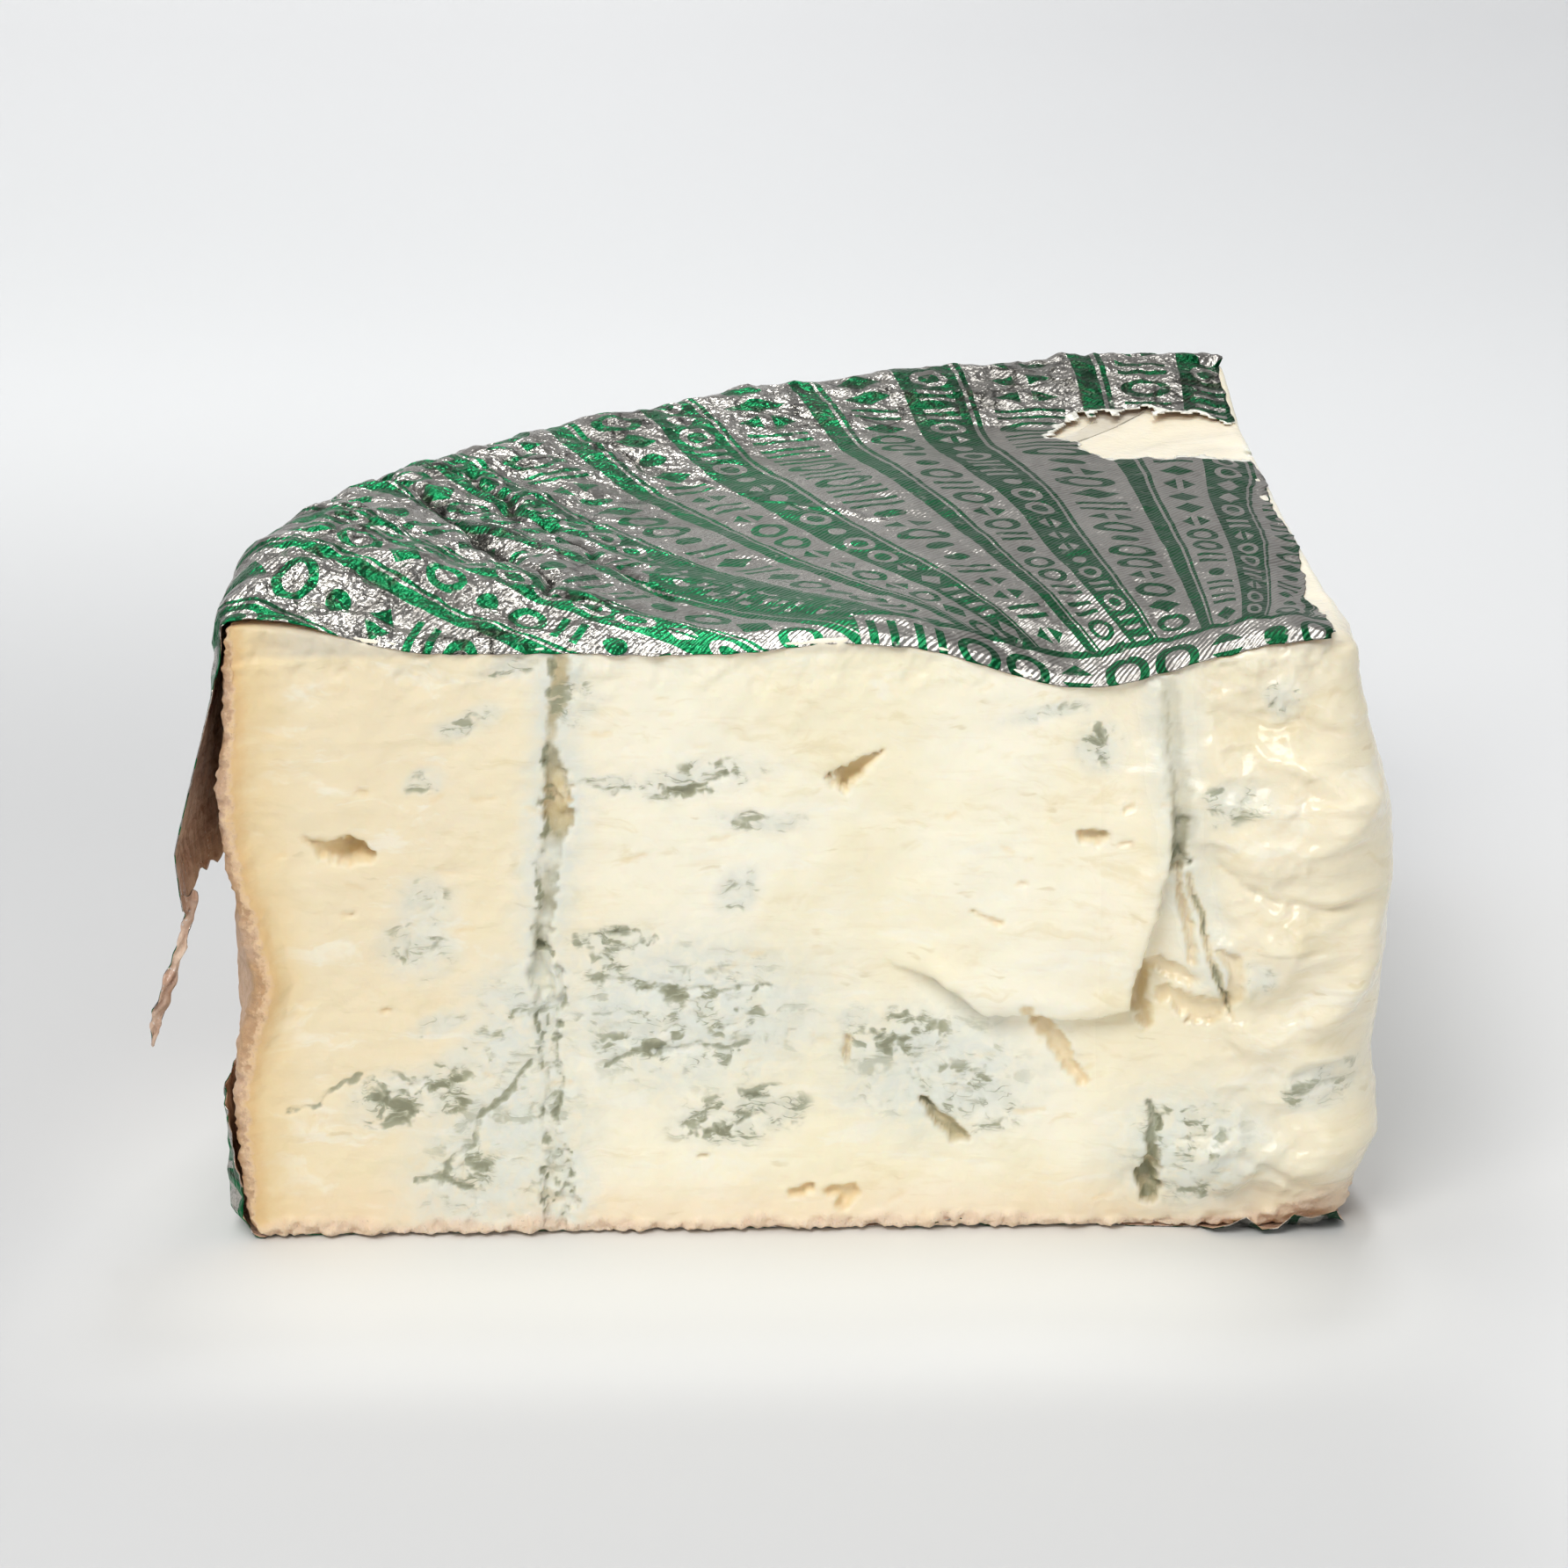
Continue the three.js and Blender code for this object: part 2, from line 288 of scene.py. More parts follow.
# %% Mould and holes on the front cut
FRONT_MOULD = [
    # u, z, half length, half height, tilt in degrees, strength
    (37.5, 82, 3, 1.5, 10, 0.6), (32, 74, 4, 1.4, 22, 0.55), (26, 66, 2.6, 1.2, 15, 0.6),
    (46, 77, 3, 3, -20, 0.55), (51, 65, 4, 1, -5, 0.55), (62.5, 66, 7.5, 2.2, 9, 0.95),
    (71.5, 60, 5, 1.3, -4, 0.6), (68, 50, 3, 2.2, 60, 0.6), (25.5, 48, 3.6, 3.6, 40, 0.55),
    (24.5, 42, 3.4, 4.5, 70, 0.55), (51.5, 43, 6, 1.8, 0, 0.9), (50, 39, 2.4, 2.8, 60, 0.7),
    (61, 36, 11, 1.7, -5, 0.85), (62, 31.5, 9, 2.2, 4, 0.8), (60, 27, 11, 1.7, -8, 0.85),
    (68, 17.5, 8, 3.4, 8, 0.95), (24.5, 21, 8, 3.6, 12, 0.95), (30, 25, 4, 2.5, 50, 0.6),
    (36, 31.5, 4, 1.2, 28, 0.6), (27.5, 31.5, 3.4, 1.2, 25, 0.5), (33.5, 24, 2.2, 2.4, 60, 0.6),
    (90, 29.5, 5.5, 3, 8, 0.85), (99.5, 20, 7, 4, -20, 0.75), (116.5, 70.5, 3, 3, -40, 0.8),
    (110, 75, 5, 1, 10, 0.4), (134.5, 63.5, 4.4, 2.6, 15, 0.6), (141, 77.5, 2.2, 2.2, 60, 1),
    (138.5, 39, 2, 1.8, 20, 0.5), (146.5, 22.5, 5, 3, 25, 0.55), (129, 15.5, 5, 3.4, -15, 0.9),
    (131.5, 7, 3, 1.6, 10, 0.7), (84, 31, 3.5, 2.4, 10, 0.35), (31.5, 10, 3, 3, 30, 0.8),
]


# %% Lay the mould on the front cut
def add_front_mould(face):
    for u, z, long, high, tilt, strength in FRONT_MOULD:
        face.mould_patch(u, z, long, high, tilt, strength)
    veins = [
        ([(27, 7.5), (28.5, 11), (31.5, 14), (32.5, 18), (36.5, 21), (39.5, 26)], 0.36, 0.62),
        ([(24, 8), (27, 8.6), (30.5, 7.2)], 0.45, 0.7),
        ([(6.5, 19), (10.5, 19.6), (13, 21.8), (16.5, 24)], 0.34, 0.5),
        ([(48, 37.5), (53, 38), (58, 36.2), (65, 35.6), (72, 36.6)], 0.3, 0.6),
        ([(50, 25), (55, 28), (61, 27.4), (69, 27.8)], 0.34, 0.6),
    ]
    for path, width, strength in veins:
        face.slit(path, width, 0.35, mould=strength, edge=0.3)
    halos = [
        # u, z, half length, half height, tilt in degrees
        (60, 32, 17, 10, 0), (36, 14, 9, 15, -35), (38, 30, 6, 8, 0), (95, 24, 12, 8, 0), (130, 13, 9, 8, 0),
    ]
    for u, z, long, high, tilt in halos:
        face.mould_patch(u, z, long, high, tilt, 0.3, halo=0.95)


print(len(FRONT_MOULD), "mould patches on the front cut")


# %% Holes on the front cut
FRONT_HOLES = [
    # path, half width, depth, tints
    ([(9.6, 58), (12.4, 56.6), (15.6, 56), (18.4, 55)], [0.3, 1.1, 1.7, 0.6], [1, 3, 7, 5], {"cavity": 0.6}),
    ([(82.2, 66), (84.6, 67.4), (87.6, 69.6)], [1.2, 1.1, 0.3], [6, 4, 1.2], {"cavity": 0.6}),
    ([(115, 58.6), (116.6, 58.6)], 0.9, 3.2, {"cavity": 0.5}),
    (
        [(93.5, 19.5), (96, 16.2), (98.4, 13.8)], [0.4, 0.9, 1.0], 2.6,
        {"cavity": 0.6, "grey": 0.6, "mould": 0.25},
    ),
    ([(75.4, 6.2), (78.4, 6.0)], 0.6, 1.8, {"cavity": 0.8}),
    ([(80.6, 5.6), (83.6, 5.8), (82, 3.6)], 0.8, 2.0, {"cavity": 0.8}),
    ([(83, 28), (83, 25.2)], 0.55, 1.6, {"cavity": 0.7}),
    ([(99.8, 47.6), (103, 46.4)], 0.28, 1.0, {"cavity": 0.6}),
    ([(107, 33), (111.4, 27.6), (114.6, 22.4)], [0.8, 1.05, 0.9], [1.8, 2.0, 1.4], {"cavity": 0.8}),
    (
        [(124.8, 13), (124.2, 9), (124.9, 5)], [0.7, 1.3, 0.8], [1.6, 4, 3],
        {"cavity": 0.5, "grey": 0.7, "mould": 0.5},
    ),
    ([(124.4, 19.5), (125.4, 16.5), (124.6, 14)], 0.5, 1.2, {"grey": 0.6, "mould": 0.45}),
]
FRONT_PITS = [
    (120.4, 62.6), (120, 57.6), (17.4, 64.2), (15, 47.4), (132, 32), (63, 11), (20, 33), (106, 52),
]


def add_front_holes(face):
    for path, width, depth, tints in FRONT_HOLES:
        face.slit(path, width, depth, **tints)
    for u, z in FRONT_PITS:
        face.slit([(u - 0.5, z), (u + 0.5, z + 0.2)], 0.35, 0.8, cavity=0.5)
    for _ in range(60):
        u = face.draw.uniform(4, 146)
        z = face.draw.uniform(4, 80)
        lean = face.draw.normal(0.1, 0.3)
        half = face.draw.uniform(0.5, 1.8) * np.array([math.cos(lean), math.sin(lean)])
        start = np.array([u, z]) - half
        end = np.array([u, z]) + half
        face.slit([start, end], face.draw.uniform(0.1, 0.35), 0.25, cavity=face.draw.uniform(0.15, 0.5))


print(len(FRONT_HOLES), "holes and", len(FRONT_PITS), "pits on the front cut")

# %% Needle channels
CHANNEL_ONE = [
    # u, z, half width, depth
    (44.6, 84, 1.1, 0.2), (43.8, 77, 1.0, 0.3), (43.1, 71, 0.5, 0.4), (43.6, 67, 1.5, 2.2),
    (43.4, 61, 1.9, 3), (43.2, 58, 1.3, 1.2), (42.6, 52, 1.3, 1.2), (41.4, 45, 1.1, 1.3),
    (41.2, 42, 0.9, 2.2), (41.9, 38, 1.7, 3.0), (42.6, 34, 1.5, 1.6), (42.2, 29, 1.3, 0.8),
    (42.4, 21, 1.15, 0.7), (42.8, 13, 1.1, 0.7), (43.2, 9.5, 1.9, 1.6),
    (43.4, 4.6, 1.9, 2.2), (42.9, 0, 1.2, 1.4),
]


def add_front_channels(face):
    channel = np.array(CHANNEL_ONE)
    distance, _, half = face.slit(channel[:, :2], channel[:, 2], channel[:, 3], edge=0.5)
    inside = 1 - smoothstep(half - 0.3, half + 0.4, distance)
    upper = smoothstep(38, 44, face.z)
    places = flat_places(face.plain_u, face.plain_z)
    uneven = np.clip(0.75 + 0.9 * noise(places / 3.5, 41) + 0.4 * noise(places / 1.2, 42), 0.1, 1.2)
    face.tint("grey", np.minimum(inside * (0.12 + 0.88 * upper) * uneven, 1))
    centre = np.interp(face.z, channel[::-1, 1], channel[::-1, 0])
    left_side = 1 - smoothstep(-0.8, 0.4, face.u - centre)
    face.tint("cavity", inside * upper * np.maximum(0.55 * bell(face.z - 79, 7), 0.85 * bell(face.z - 63, 4)))
    face.tint("halo", 0.95 * (1 - smoothstep(half - 0.2, half + 5, distance)))
    broken = smoothstep(-0.45, 0.35, noise(places / 1.7, 43))
    rim = bell(distance - half, 0.36) * (1 - smoothstep(32, 42, face.z)) * broken
    face.tint("vein", 0.95 * rim)
    soft_rim = bell(distance - half + 0.15, 0.5) * smoothstep(36, 44, face.z)
    face.tint("vein", 0.75 * soft_rim * broken * (0.35 + 0.65 * left_side))
    speckle = inside * smoothstep(0.05, 0.5, noise(places / 0.9, 44)) * (1 - smoothstep(28, 40, face.z))
    face.tint("vein", 0.5 * speckle)
    face.depth -= 0.6 * rim
    face.depth += inside * (0.5 * noise(places / 1.4, 45) + 0.25 * noise(places / 0.7, 46))
    face.slit([(40.5, 42.6), (42.8, 41)], 0.35, 1.2, mould=1.0)
    face.ridge([(42.6, 40), (43.2, 37), (42.6, 34.5)], 0.6, 2.2)
    face.ridge([(43.2, 66), (44.4, 63.5), (43.6, 61)], 0.6, 2.0)
    face.ridge([(43.4, 8), (43.2, 6)], 0.8, 1.6)
    face.ridge([(43.6, 4), (43.0, 1.5)], 0.7, 1.4)

    face.slit([(125.4, 79), (126.8, 68.5), (128, 59)], [1.0, 1.2, 1.3], [0.1, 0.25, 0.5], grey=0.4, edge=0.9)
    face.slit([(125, 78), (126.2, 68.5), (127.4, 60)], [0.2, 0.25, 0.6], [0.2, 0.3, 0.6], grey=0.7)
    face.slit([(128, 60), (127.4, 55)], [0.9, 1.3], [0.8, 1.8], grey=0.8, mould=0.3)
    face.slit([(126, 55.4), (127.5, 56.2), (129, 54.6)], 0.35, 1.0, mould=0.9)
    face.slit([(127.2, 54), (128.4, 47), (129.6, 40.6)], [0.4, 0.65, 0.5], [1.4, 2.2, 1.6], cavity=0.6)
    crack = [(128.8, 53), (131.4, 43.4), (134, 35), (134.8, 32.6)]
    face.slit(crack, [0.3, 0.4, 0.5, 0.3], [1.2, 1.8, 1.8, 0.8], cavity=0.6, mould=0.4)
    halo, _ = distance_to([(125.4, 80), (126.8, 68.5), (128, 55), (132, 40)], face.u, face.z)
    face.tint("halo", 0.7 * (1 - smoothstep(1.5, 6, halo)))


print(len(CHANNEL_ONE), "places along the first channel")


# %% The sagging lip
def add_front_lip(face):
    low_edge = np.interp(
        face.u, [80, 94, 97, 100, 104, 109, 115, 121], [42, 37.6, 35, 33, 32, 31.6, 32, 33.5]
    )
    right_edge = np.interp(face.z, [31, 41, 46, 54, 60], [121.2, 123.2, 124.4, 126, 127])
    inside = np.minimum(face.z - low_edge, right_edge - face.u)
    fade = smoothstep(86, 98, face.u)
    fade = fade * bell(np.maximum(face.z - 37, 0), 21) * bell(np.maximum(37 - face.z, 0), 9)
    face.depth += fade * (3.0 * smoothstep(-0.3, 0.7, inside) + 1.2 * bell(inside - 2, 2.4) * (inside > 0))
    under = 1 - smoothstep(-0.6, 0.4, inside)
    face.depth -= 1.8 * fade * under * bell(np.minimum(inside, 0), 4)
    face.slit([(122.8, 40), (123, 36), (123.8, 31)], [0.8, 1.1, 0.8], [1.8, 2.4, 1.6], cavity=0.75, grey=0.3)
    for path, width, depth in [
        ([(126, 35.5), (130, 33.8), (134, 35)], [1.2, 2.0, 1.2], 1.6),
        ([(125.4, 40), (128.5, 38)], 1.2, 1.4),
        ([(133.4, 42), (135.4, 41), (135, 36)], 0.9, 1.4),
    ]:
        face.slit(path, width, depth, cavity=0.5)
    face.ridge([(126.5, 37.5), (129, 36), (132, 37.5)], 1.3, 1.4)


print("the lip hangs down to about 32 mm above the base")

# %% [markdown]
# ## The soft, glossy third near the tip
# Towards its middle a wheel like this is ripest. The knife drags the paste there into folds and
# smears, and it stays wet. Long ridges and creases on top of a low, lazy noise give that.

# %% Folds near the tip and the knife's drag
def add_front_folds(face):
    ripe = smoothstep(104, 134, face.u)
    places = flat_places(face.u, face.z)
    face.depth += ripe * (2.0 * noise(places / 13, 21) + 0.9 * noise(places / 6, 22))
    face.ridge([(139, 69), (145, 67), (148.5, 62), (145, 57.5), (138, 58)], 1.2, 1.7)
    face.ridge([(149, 47), (147.4, 38), (145.6, 31)], 1.1, 3.6)
    face.ridge([(151, 74), (152, 64), (153, 54)], 2.0, 1.6)
    face.ridge([(134, 56), (141, 55), (150, 54)], 2.2, 0.8)
    face.ridge([(131, 11), (140, 9), (152, 13)], 2.6, 1.1)
    face.ridge([(128, 25), (137, 27), (149, 29)], 2.8, 0.9)
    whipped = smoothstep(122, 140, face.u)
    face.depth += whipped * (0.9 - 2.4 * np.abs(noise(places / 8, 23)))
    face.depth += 0.7 * whipped * (0.4 - np.abs(noise(places / 3.4, 24)))
    for path, height in [
        ([(133, 54), (139, 50.5), (147, 49), (155, 53)], -0.9),
        ([(141, 63), (144, 63.5), (143, 61)], -1.0),
        ([(147, 20), (150, 24), (154, 25)], -1.2),
        ([(138, 73), (144, 74), (148, 71)], -0.9),
        ([(137, 12), (146, 7), (152, 6)], -1.2),
    ]:
        face.ridge(path, 0.8, height)
    knife = noise(flat_places(face.u / 26, face.z / 1.6), 31)
    knife = knife + 0.5 * noise(flat_places(face.u / 40, face.z / 0.8), 32)
    face.depth += 0.09 * (1 - 0.5 * ripe) * knife
    for amount, size, seed in ((0.45, 8, 33), (0.2, 2.6, 34), (0.08, 1.1, 35)):
        face.depth += amount * noise(places / size, seed)
    face.depth += smoothstep(75, 82, face.z) * (0.6 * noise(places / 3, 36) + 0.35 * noise(places / 1.2, 37))
    for u, z, reach, height in [(75, 60, 20, 0.9), (24, 36, 12, -0.5), (100, 62, 16, 0.8), (58, 12, 14, 0.5)]:
        face.depth += height * bell(np.hypot(face.u - u, face.z - z), reach)


# %% Everything on the front cut, in order
def front_face(u, z):
    face = CutFace(u, z, 5)
    add_front_folds(face)
    add_front_lip(face)
    add_front_mould(face)
    add_front_channels(face)
    add_front_holes(face)
    return face


# %% [markdown]
# ## The second cut
# It is cut from the same wheel, so it gets the same kinds of marks in other places: mould between
# 15 and 70 mm up, two needle channels and a handful of holes. The draws are seeded, so the face
# is the same on every run.

# %% Marks on the second cut
def second_face(v, z):
    face = CutFace(v, z, 40)
    places = flat_places(face.u, face.z)
    ripe = 1 - smoothstep(20, 50, face.u)
    face.depth += ripe * (1.0 * noise(places / 12, 51) + 0.4 * noise(places / 5, 52))
    face.depth += 0.13 * noise(flat_places(face.u / 26, face.z / 1.6), 53) + 0.25 * noise(places / 7, 54)
    for path in (
        [(12, 60), (20, 57), (30, 60)],
        [(8, 30), (16, 34), (26, 31)],
        [(20, 14), (30, 12), (42, 15)],
    ):
        face.ridge(path, 2.0, 1.1)
    for _ in range(30):
        face.mould_patch(
            face.draw.uniform(8, 138), face.draw.uniform(10, 76), face.draw.uniform(3, 9),
            face.draw.uniform(1.3, 3.6), face.draw.normal(5, 18), face.draw.uniform(0.5, 0.95),
        )
    for at in (52, 104):
        heights = np.linspace(0, 84, 13)
        path = np.stack([at + face.draw.normal(0, 0.7, 13), heights], axis=1)
        width = face.draw.uniform(0.4, 1.7, 13)
        distance, _, half = face.slit(path, width, 0.4 + width * 0.7, edge=0.5)
        inside = 1 - smoothstep(half - 0.3, half + 0.4, distance)
        uneven = np.clip(0.5 + noise(places / 4, 55) + 0.5 * noise(places / 1.3, 56), 0.05, 1)
        face.tint("grey", inside * uneven)
        face.tint("cavity", 0.5 * inside * (1 - uneven))
        face.tint("halo", 0.8 * (1 - smoothstep(half, half + 5, distance)))
        face.tint("vein", 0.6 * bell(distance - half, 0.4) * smoothstep(-0.2, 0.4, noise(places / 2, 57)))
    for _ in range(11):
        start = np.array([face.draw.uniform(10, 140), face.draw.uniform(8, 76)])
        lean = face.draw.normal(0.3, 0.5)
        end = start + face.draw.uniform(1.5, 5) * np.array([math.cos(lean), math.sin(lean)])
        face.slit([start, end], face.draw.uniform(0.5, 1.2), face.draw.uniform(1.5, 3.5), cavity=0.5)
    return face


# %% [markdown]
# ## The cheese as one closed mesh
# A ring of points runs round the wedge's plan, and rings are stacked from the base to the top,
# then closed with shrinking rings on both ends. Rings give even, fine squares on the tall faces,
# where the detail is, and a boolean or sculpted block would not. The spacing is finest on the
# front cut, because that is the face that is looked at.

# %% The plan outline with its outward directions
CORNER_STEPS = 12
FRONT_STEPS = 350
TIP_STEPS = 16
SECOND_STEPS = 200
BACK_CORNER_STEPS = 10
RIND_STEPS = 150
SECOND_START = CORNER_STEPS + FRONT_STEPS
FRONT_COLUMNS = slice(0, SECOND_START + TIP_STEPS)
SECOND_COLUMNS = slice(SECOND_START, SECOND_START + TIP_STEPS + SECOND_STEPS + BACK_CORNER_STEPS)


def plan_outline():
    """Points round the wedge, counter-clockwise from the front left corner."""
    reach = math.sqrt((WHEEL_RADIUS - CORNER_ROUND) ** 2 - CORNER_ROUND**2)
    lean = math.asin(CORNER_ROUND / (WHEEL_RADIUS - CORNER_ROUND))
    points = []

    def arc(centre_x, centre_y, radius, start, end, steps):
        for angle in np.linspace(start, end, steps, endpoint=False):
            across, up = math.cos(angle), math.sin(angle)
            points.append((centre_x + radius * across, centre_y + radius * up, across, up))

    def straight(start, end, normal, steps):
        for share in np.linspace(0, 1, steps, endpoint=False):
            points.append((*(np.array(start) * (1 - share) + np.array(end) * share), *normal))

    arc(-reach, CORNER_ROUND, CORNER_ROUND, math.pi - lean, 1.5 * math.pi, CORNER_STEPS)
    straight((-reach, 0), (-TIP_ROUND, 0), (0, -1), FRONT_STEPS)
    arc(-TIP_ROUND, TIP_ROUND, TIP_ROUND, -0.5 * math.pi, 0, TIP_STEPS)
    straight((0, TIP_ROUND), (0, reach), (1, 0), SECOND_STEPS)
    arc(-CORNER_ROUND, reach, CORNER_ROUND, 0, 0.5 * math.pi + lean, BACK_CORNER_STEPS)
    arc(0, 0, WHEEL_RADIUS, 0.5 * math.pi + lean, math.pi - lean, RIND_STEPS)
    return np.array(points).T


def ring_shares(middle_rows):
    """Heights of the rings as shares, closer together in the rounded edges."""
    foot = (1 - np.cos(np.linspace(0, 0.5 * math.pi, 7))) * EDGE_ROUND / RIM_HEIGHT
    middle = np.linspace(foot[-1], 1 - foot[-1], middle_rows)[1:-1]
    return np.concatenate([foot, middle, 1 - foot[::-1]])


outline_x, outline_y, normal_x, normal_y = plan_outline()
shares = ring_shares(194)
print(len(outline_x), "points round and", len(shares), "rings up")

# %% The walls: cuts, tip and rind
CHIP_HEIGHTS = [0, 3, 8, 20, 25, 30, 37, 47, 54, 60, 66, 77, 88]
CHIP_DEPTHS = [2, 0.6, 0.8, 0, 0.8, 2.2, 4.2, 2, 0.2, -0.6, -0.6, 0.1, -0.2]


def corner_chip(x, y, z):
    """The rind's front edge is chipped and wavy: how far it is pushed in, away from the corner."""
    worn = np.interp(z, CHIP_HEIGHTS, CHIP_DEPTHS)
    rough = 0.35 * noise(np.stack([x, y, z], axis=-1) / 1.6, 61)
    crumbs = 0.5 * noise(np.stack([x, y, z], axis=-1) / 0.9, 62) * bell(np.hypot(x + WHEEL_RADIUS, y), 1.6)
    return (worn + rough) * bell(np.hypot(x + WHEEL_RADIUS, y), 8) + crumbs


def wall_points():
    x = np.broadcast_to(outline_x, (len(shares), len(outline_x)))
    y = np.broadcast_to(outline_y, x.shape)
    out_x = np.broadcast_to(normal_x, x.shape)
    out_y = np.broadcast_to(normal_y, x.shape)
    top = top_height(x, y)
    share = shares[:, None]
    z = CHEESE_FLOOR + (top - CHEESE_FLOOR) * share

    on_rind = smoothstep(0.97, 1, np.hypot(x, y) / WHEEL_RADIUS)
    upper = share > 0.5
    tip_shoulder = TIP_EDGE_ROUND * bell(np.hypot(x, y), 11)
    rim_shoulder = (SHOULDER_ROUND - EDGE_ROUND) * on_rind * (1 - 0.88 * bell(y, 7))
    shoulder = EDGE_ROUND + tip_shoulder + rim_shoulder
    rounding = np.where(upper, shoulder, EDGE_ROUND)
    to_edge = np.minimum(np.where(upper, top - z, z - CHEESE_FLOOR), rounding)
    rounded_in = rounding - np.sqrt(rounding**2 - (rounding - to_edge) ** 2)
    out = tip_sag(x, y, z) + on_rind * (rind_radius(z) - WHEEL_RADIUS) - rounded_in

    front = front_face(x[:, FRONT_COLUMNS] + WHEEL_RADIUS, z[:, FRONT_COLUMNS])
    second = second_face(y[:, SECOND_COLUMNS], z[:, SECOND_COLUMNS])
    masks = {name: np.zeros(x.shape) for name in MASKS}
    front_weight = np.clip(-out_y, 0, 1)[:, FRONT_COLUMNS] ** 2
    second_weight = np.clip(out_x, 0, 1)[:, SECOND_COLUMNS] ** 2
    near_edge = smoothstep(0, 1.5, to_edge)
    for name in MASKS:
        masks[name][:, FRONT_COLUMNS] += front.masks[name] * front_weight
        masks[name][:, SECOND_COLUMNS] += second.masks[name] * second_weight
    relief = np.zeros(x.shape)
    relief[:, FRONT_COLUMNS] += front.depth * front_weight
    relief[:, SECOND_COLUMNS] += second.depth * second_weight
    out = out + relief * (0.3 + 0.7 * near_edge)

    solid = np.stack([x, y, z], axis=-1)
    cut_weight = np.clip(np.maximum(-out_y, out_x), 0, 1) ** 2
    thick = 2.3 + 1.6 * noise(flat_places((x + y) / 7, 0 * x), 76) + 4.5 * bell(x + 2, 4)
    crust_row = (1 - smoothstep(0.6, 1.2, z / np.maximum(thick, 0.8))) * cut_weight
    out = out + crust_row * (0.5 + 1.1 * noise(solid / 1.9, 71) + 0.7 * noise(solid / 0.8, 72))
    masks["crumb"] = crust_row
    rind_side = on_rind * (1 - cut_weight)
    out = out + rind_side * (0.7 * noise(solid / 9, 73) + 0.4 * noise(solid / 2.2, 74))
    points = np.stack([x + out_x * out, y + out_y * out, z], axis=-1)
    points[..., 0] += corner_chip(x, y, z)
    return points, masks, solid


wall, wall_masks, wall_plain = wall_points()
print("walls reach from", wall.reshape(-1, 3).min(0).round(1), "to", wall.reshape(-1, 3).max(0).round(1))

# %% Close the top and the base, and make the mesh
CAP_MIDDLE = np.array([-62, 62])
CAP_SHARES = [0.994, 0.985, 0.97, 0.95, 0.92, 0.88, 0.83, 0.77, 0.7, 0.62, 0.53, 0.44, 0.34, 0.24, 0.13]


def cap_rings(edge, level):
    rings = []
    for share in CAP_SHARES:
        flat = CAP_MIDDLE + (edge[:, :2] - CAP_MIDDLE) * share
        rings.append(np.column_stack([flat, level(flat[:, 0], flat[:, 1])]))
    return rings


def top_level(x, y):
    return top_height(x, y) + 0.3 * noise(flat_places(x, y) / 6, 75)


def base_level(x, y):
    return CHEESE_FLOOR + 0 * x


def ring_faces(ring_count, count):
    ring = np.arange(ring_count - 1)[:, None] * count
    here = np.arange(count)[None, :]
    after = (here + 1) % count
    corners = [ring + here, ring + after, ring + after + count, ring + here + count]
    return np.stack(corners, axis=-1).reshape(-1, 4)


# %% Turn points into a mesh, with values on its points
def build_mesh(name, vertices, quads, fans=(), smooth=True):
    mesh = bpy.data.meshes.new(name)
    faces = [tuple(quad) for quad in quads.tolist()] + [tuple(fan) for fan in fans]
    mesh.from_pydata(in_metres(vertices).tolist(), [], faces)
    mesh.validate()
    mesh.polygons.foreach_set("use_smooth", [smooth] * len(mesh.polygons))
    made = bpy.data.objects.new(name, mesh)
    bpy.context.collection.objects.link(made)
    return made


def give_values(made, name, values):
    """Store one number, or one vector, for each point of a piece, for its finish to read."""
    values = np.asarray(values, dtype=np.float32)
    kind, field = ("FLOAT", "value") if values.ndim == 1 else ("FLOAT_VECTOR", "vector")
    store = made.data.attributes.new(name, kind, "POINT")
    store.data.foreach_set(field, values.ravel())


# %% The cheese's mesh
base_rings = cap_rings(wall[0], base_level)[::-1]
top_rings = cap_rings(wall[-1], top_level)
rings = np.stack([*base_rings, *wall, *top_rings])
count = rings.shape[1]
middles = [[*CAP_MIDDLE, CHEESE_FLOOR], [*CAP_MIDDLE, float(top_level(CAP_MIDDLE[:1], CAP_MIDDLE[1:])[0])]]
last_ring = (len(rings) - 1) * count
fans = [(rings.shape[0] * count, (i + 1) % count, i) for i in range(count)]
fans += [(rings.shape[0] * count + 1, last_ring + i, last_ring + (i + 1) % count) for i in range(count)]
cheese = build_mesh("cheese", np.vstack([rings.reshape(-1, 3), middles]), ring_faces(len(rings), count), fans)


def cap_filled(values):
    """Wall values with nothing added on the caps' points."""
    lower = np.zeros((len(base_rings), count))
    upper = np.zeros((len(top_rings), count))
    return np.concatenate([np.vstack([lower, values, upper]).ravel(), [0, 0]])


for mask in (*MASKS, "crumb"):
    give_values(cheese, mask, np.clip(cap_filled(wall_masks[mask]), 0, 1))
plain_rings = np.concatenate([np.stack(base_rings), wall_plain, np.stack(top_rings)])
give_values(cheese, "wheel", np.vstack([plain_rings.reshape(-1, 3), middles]))
print("cheese:", len(cheese.data.vertices), "points,", len(cheese.data.polygons), "faces")

# %% [markdown]
# ## The top foil
# Cheese foil is thin laminated paper: metal and print outside, brown stained paper inside. It
# was pressed over the wheel, so it is pleated and crumpled at the rim, fairly smooth in the
# middle, and torn where pieces stuck. A cloth simulation gives soft folds, which foil hasn't.
# Crisp crossing creases on a dense sheet look right, so the sheet is a polar grid from the tip
# outwards, over the rim and down the rind, with creases added along the surface's own direction.

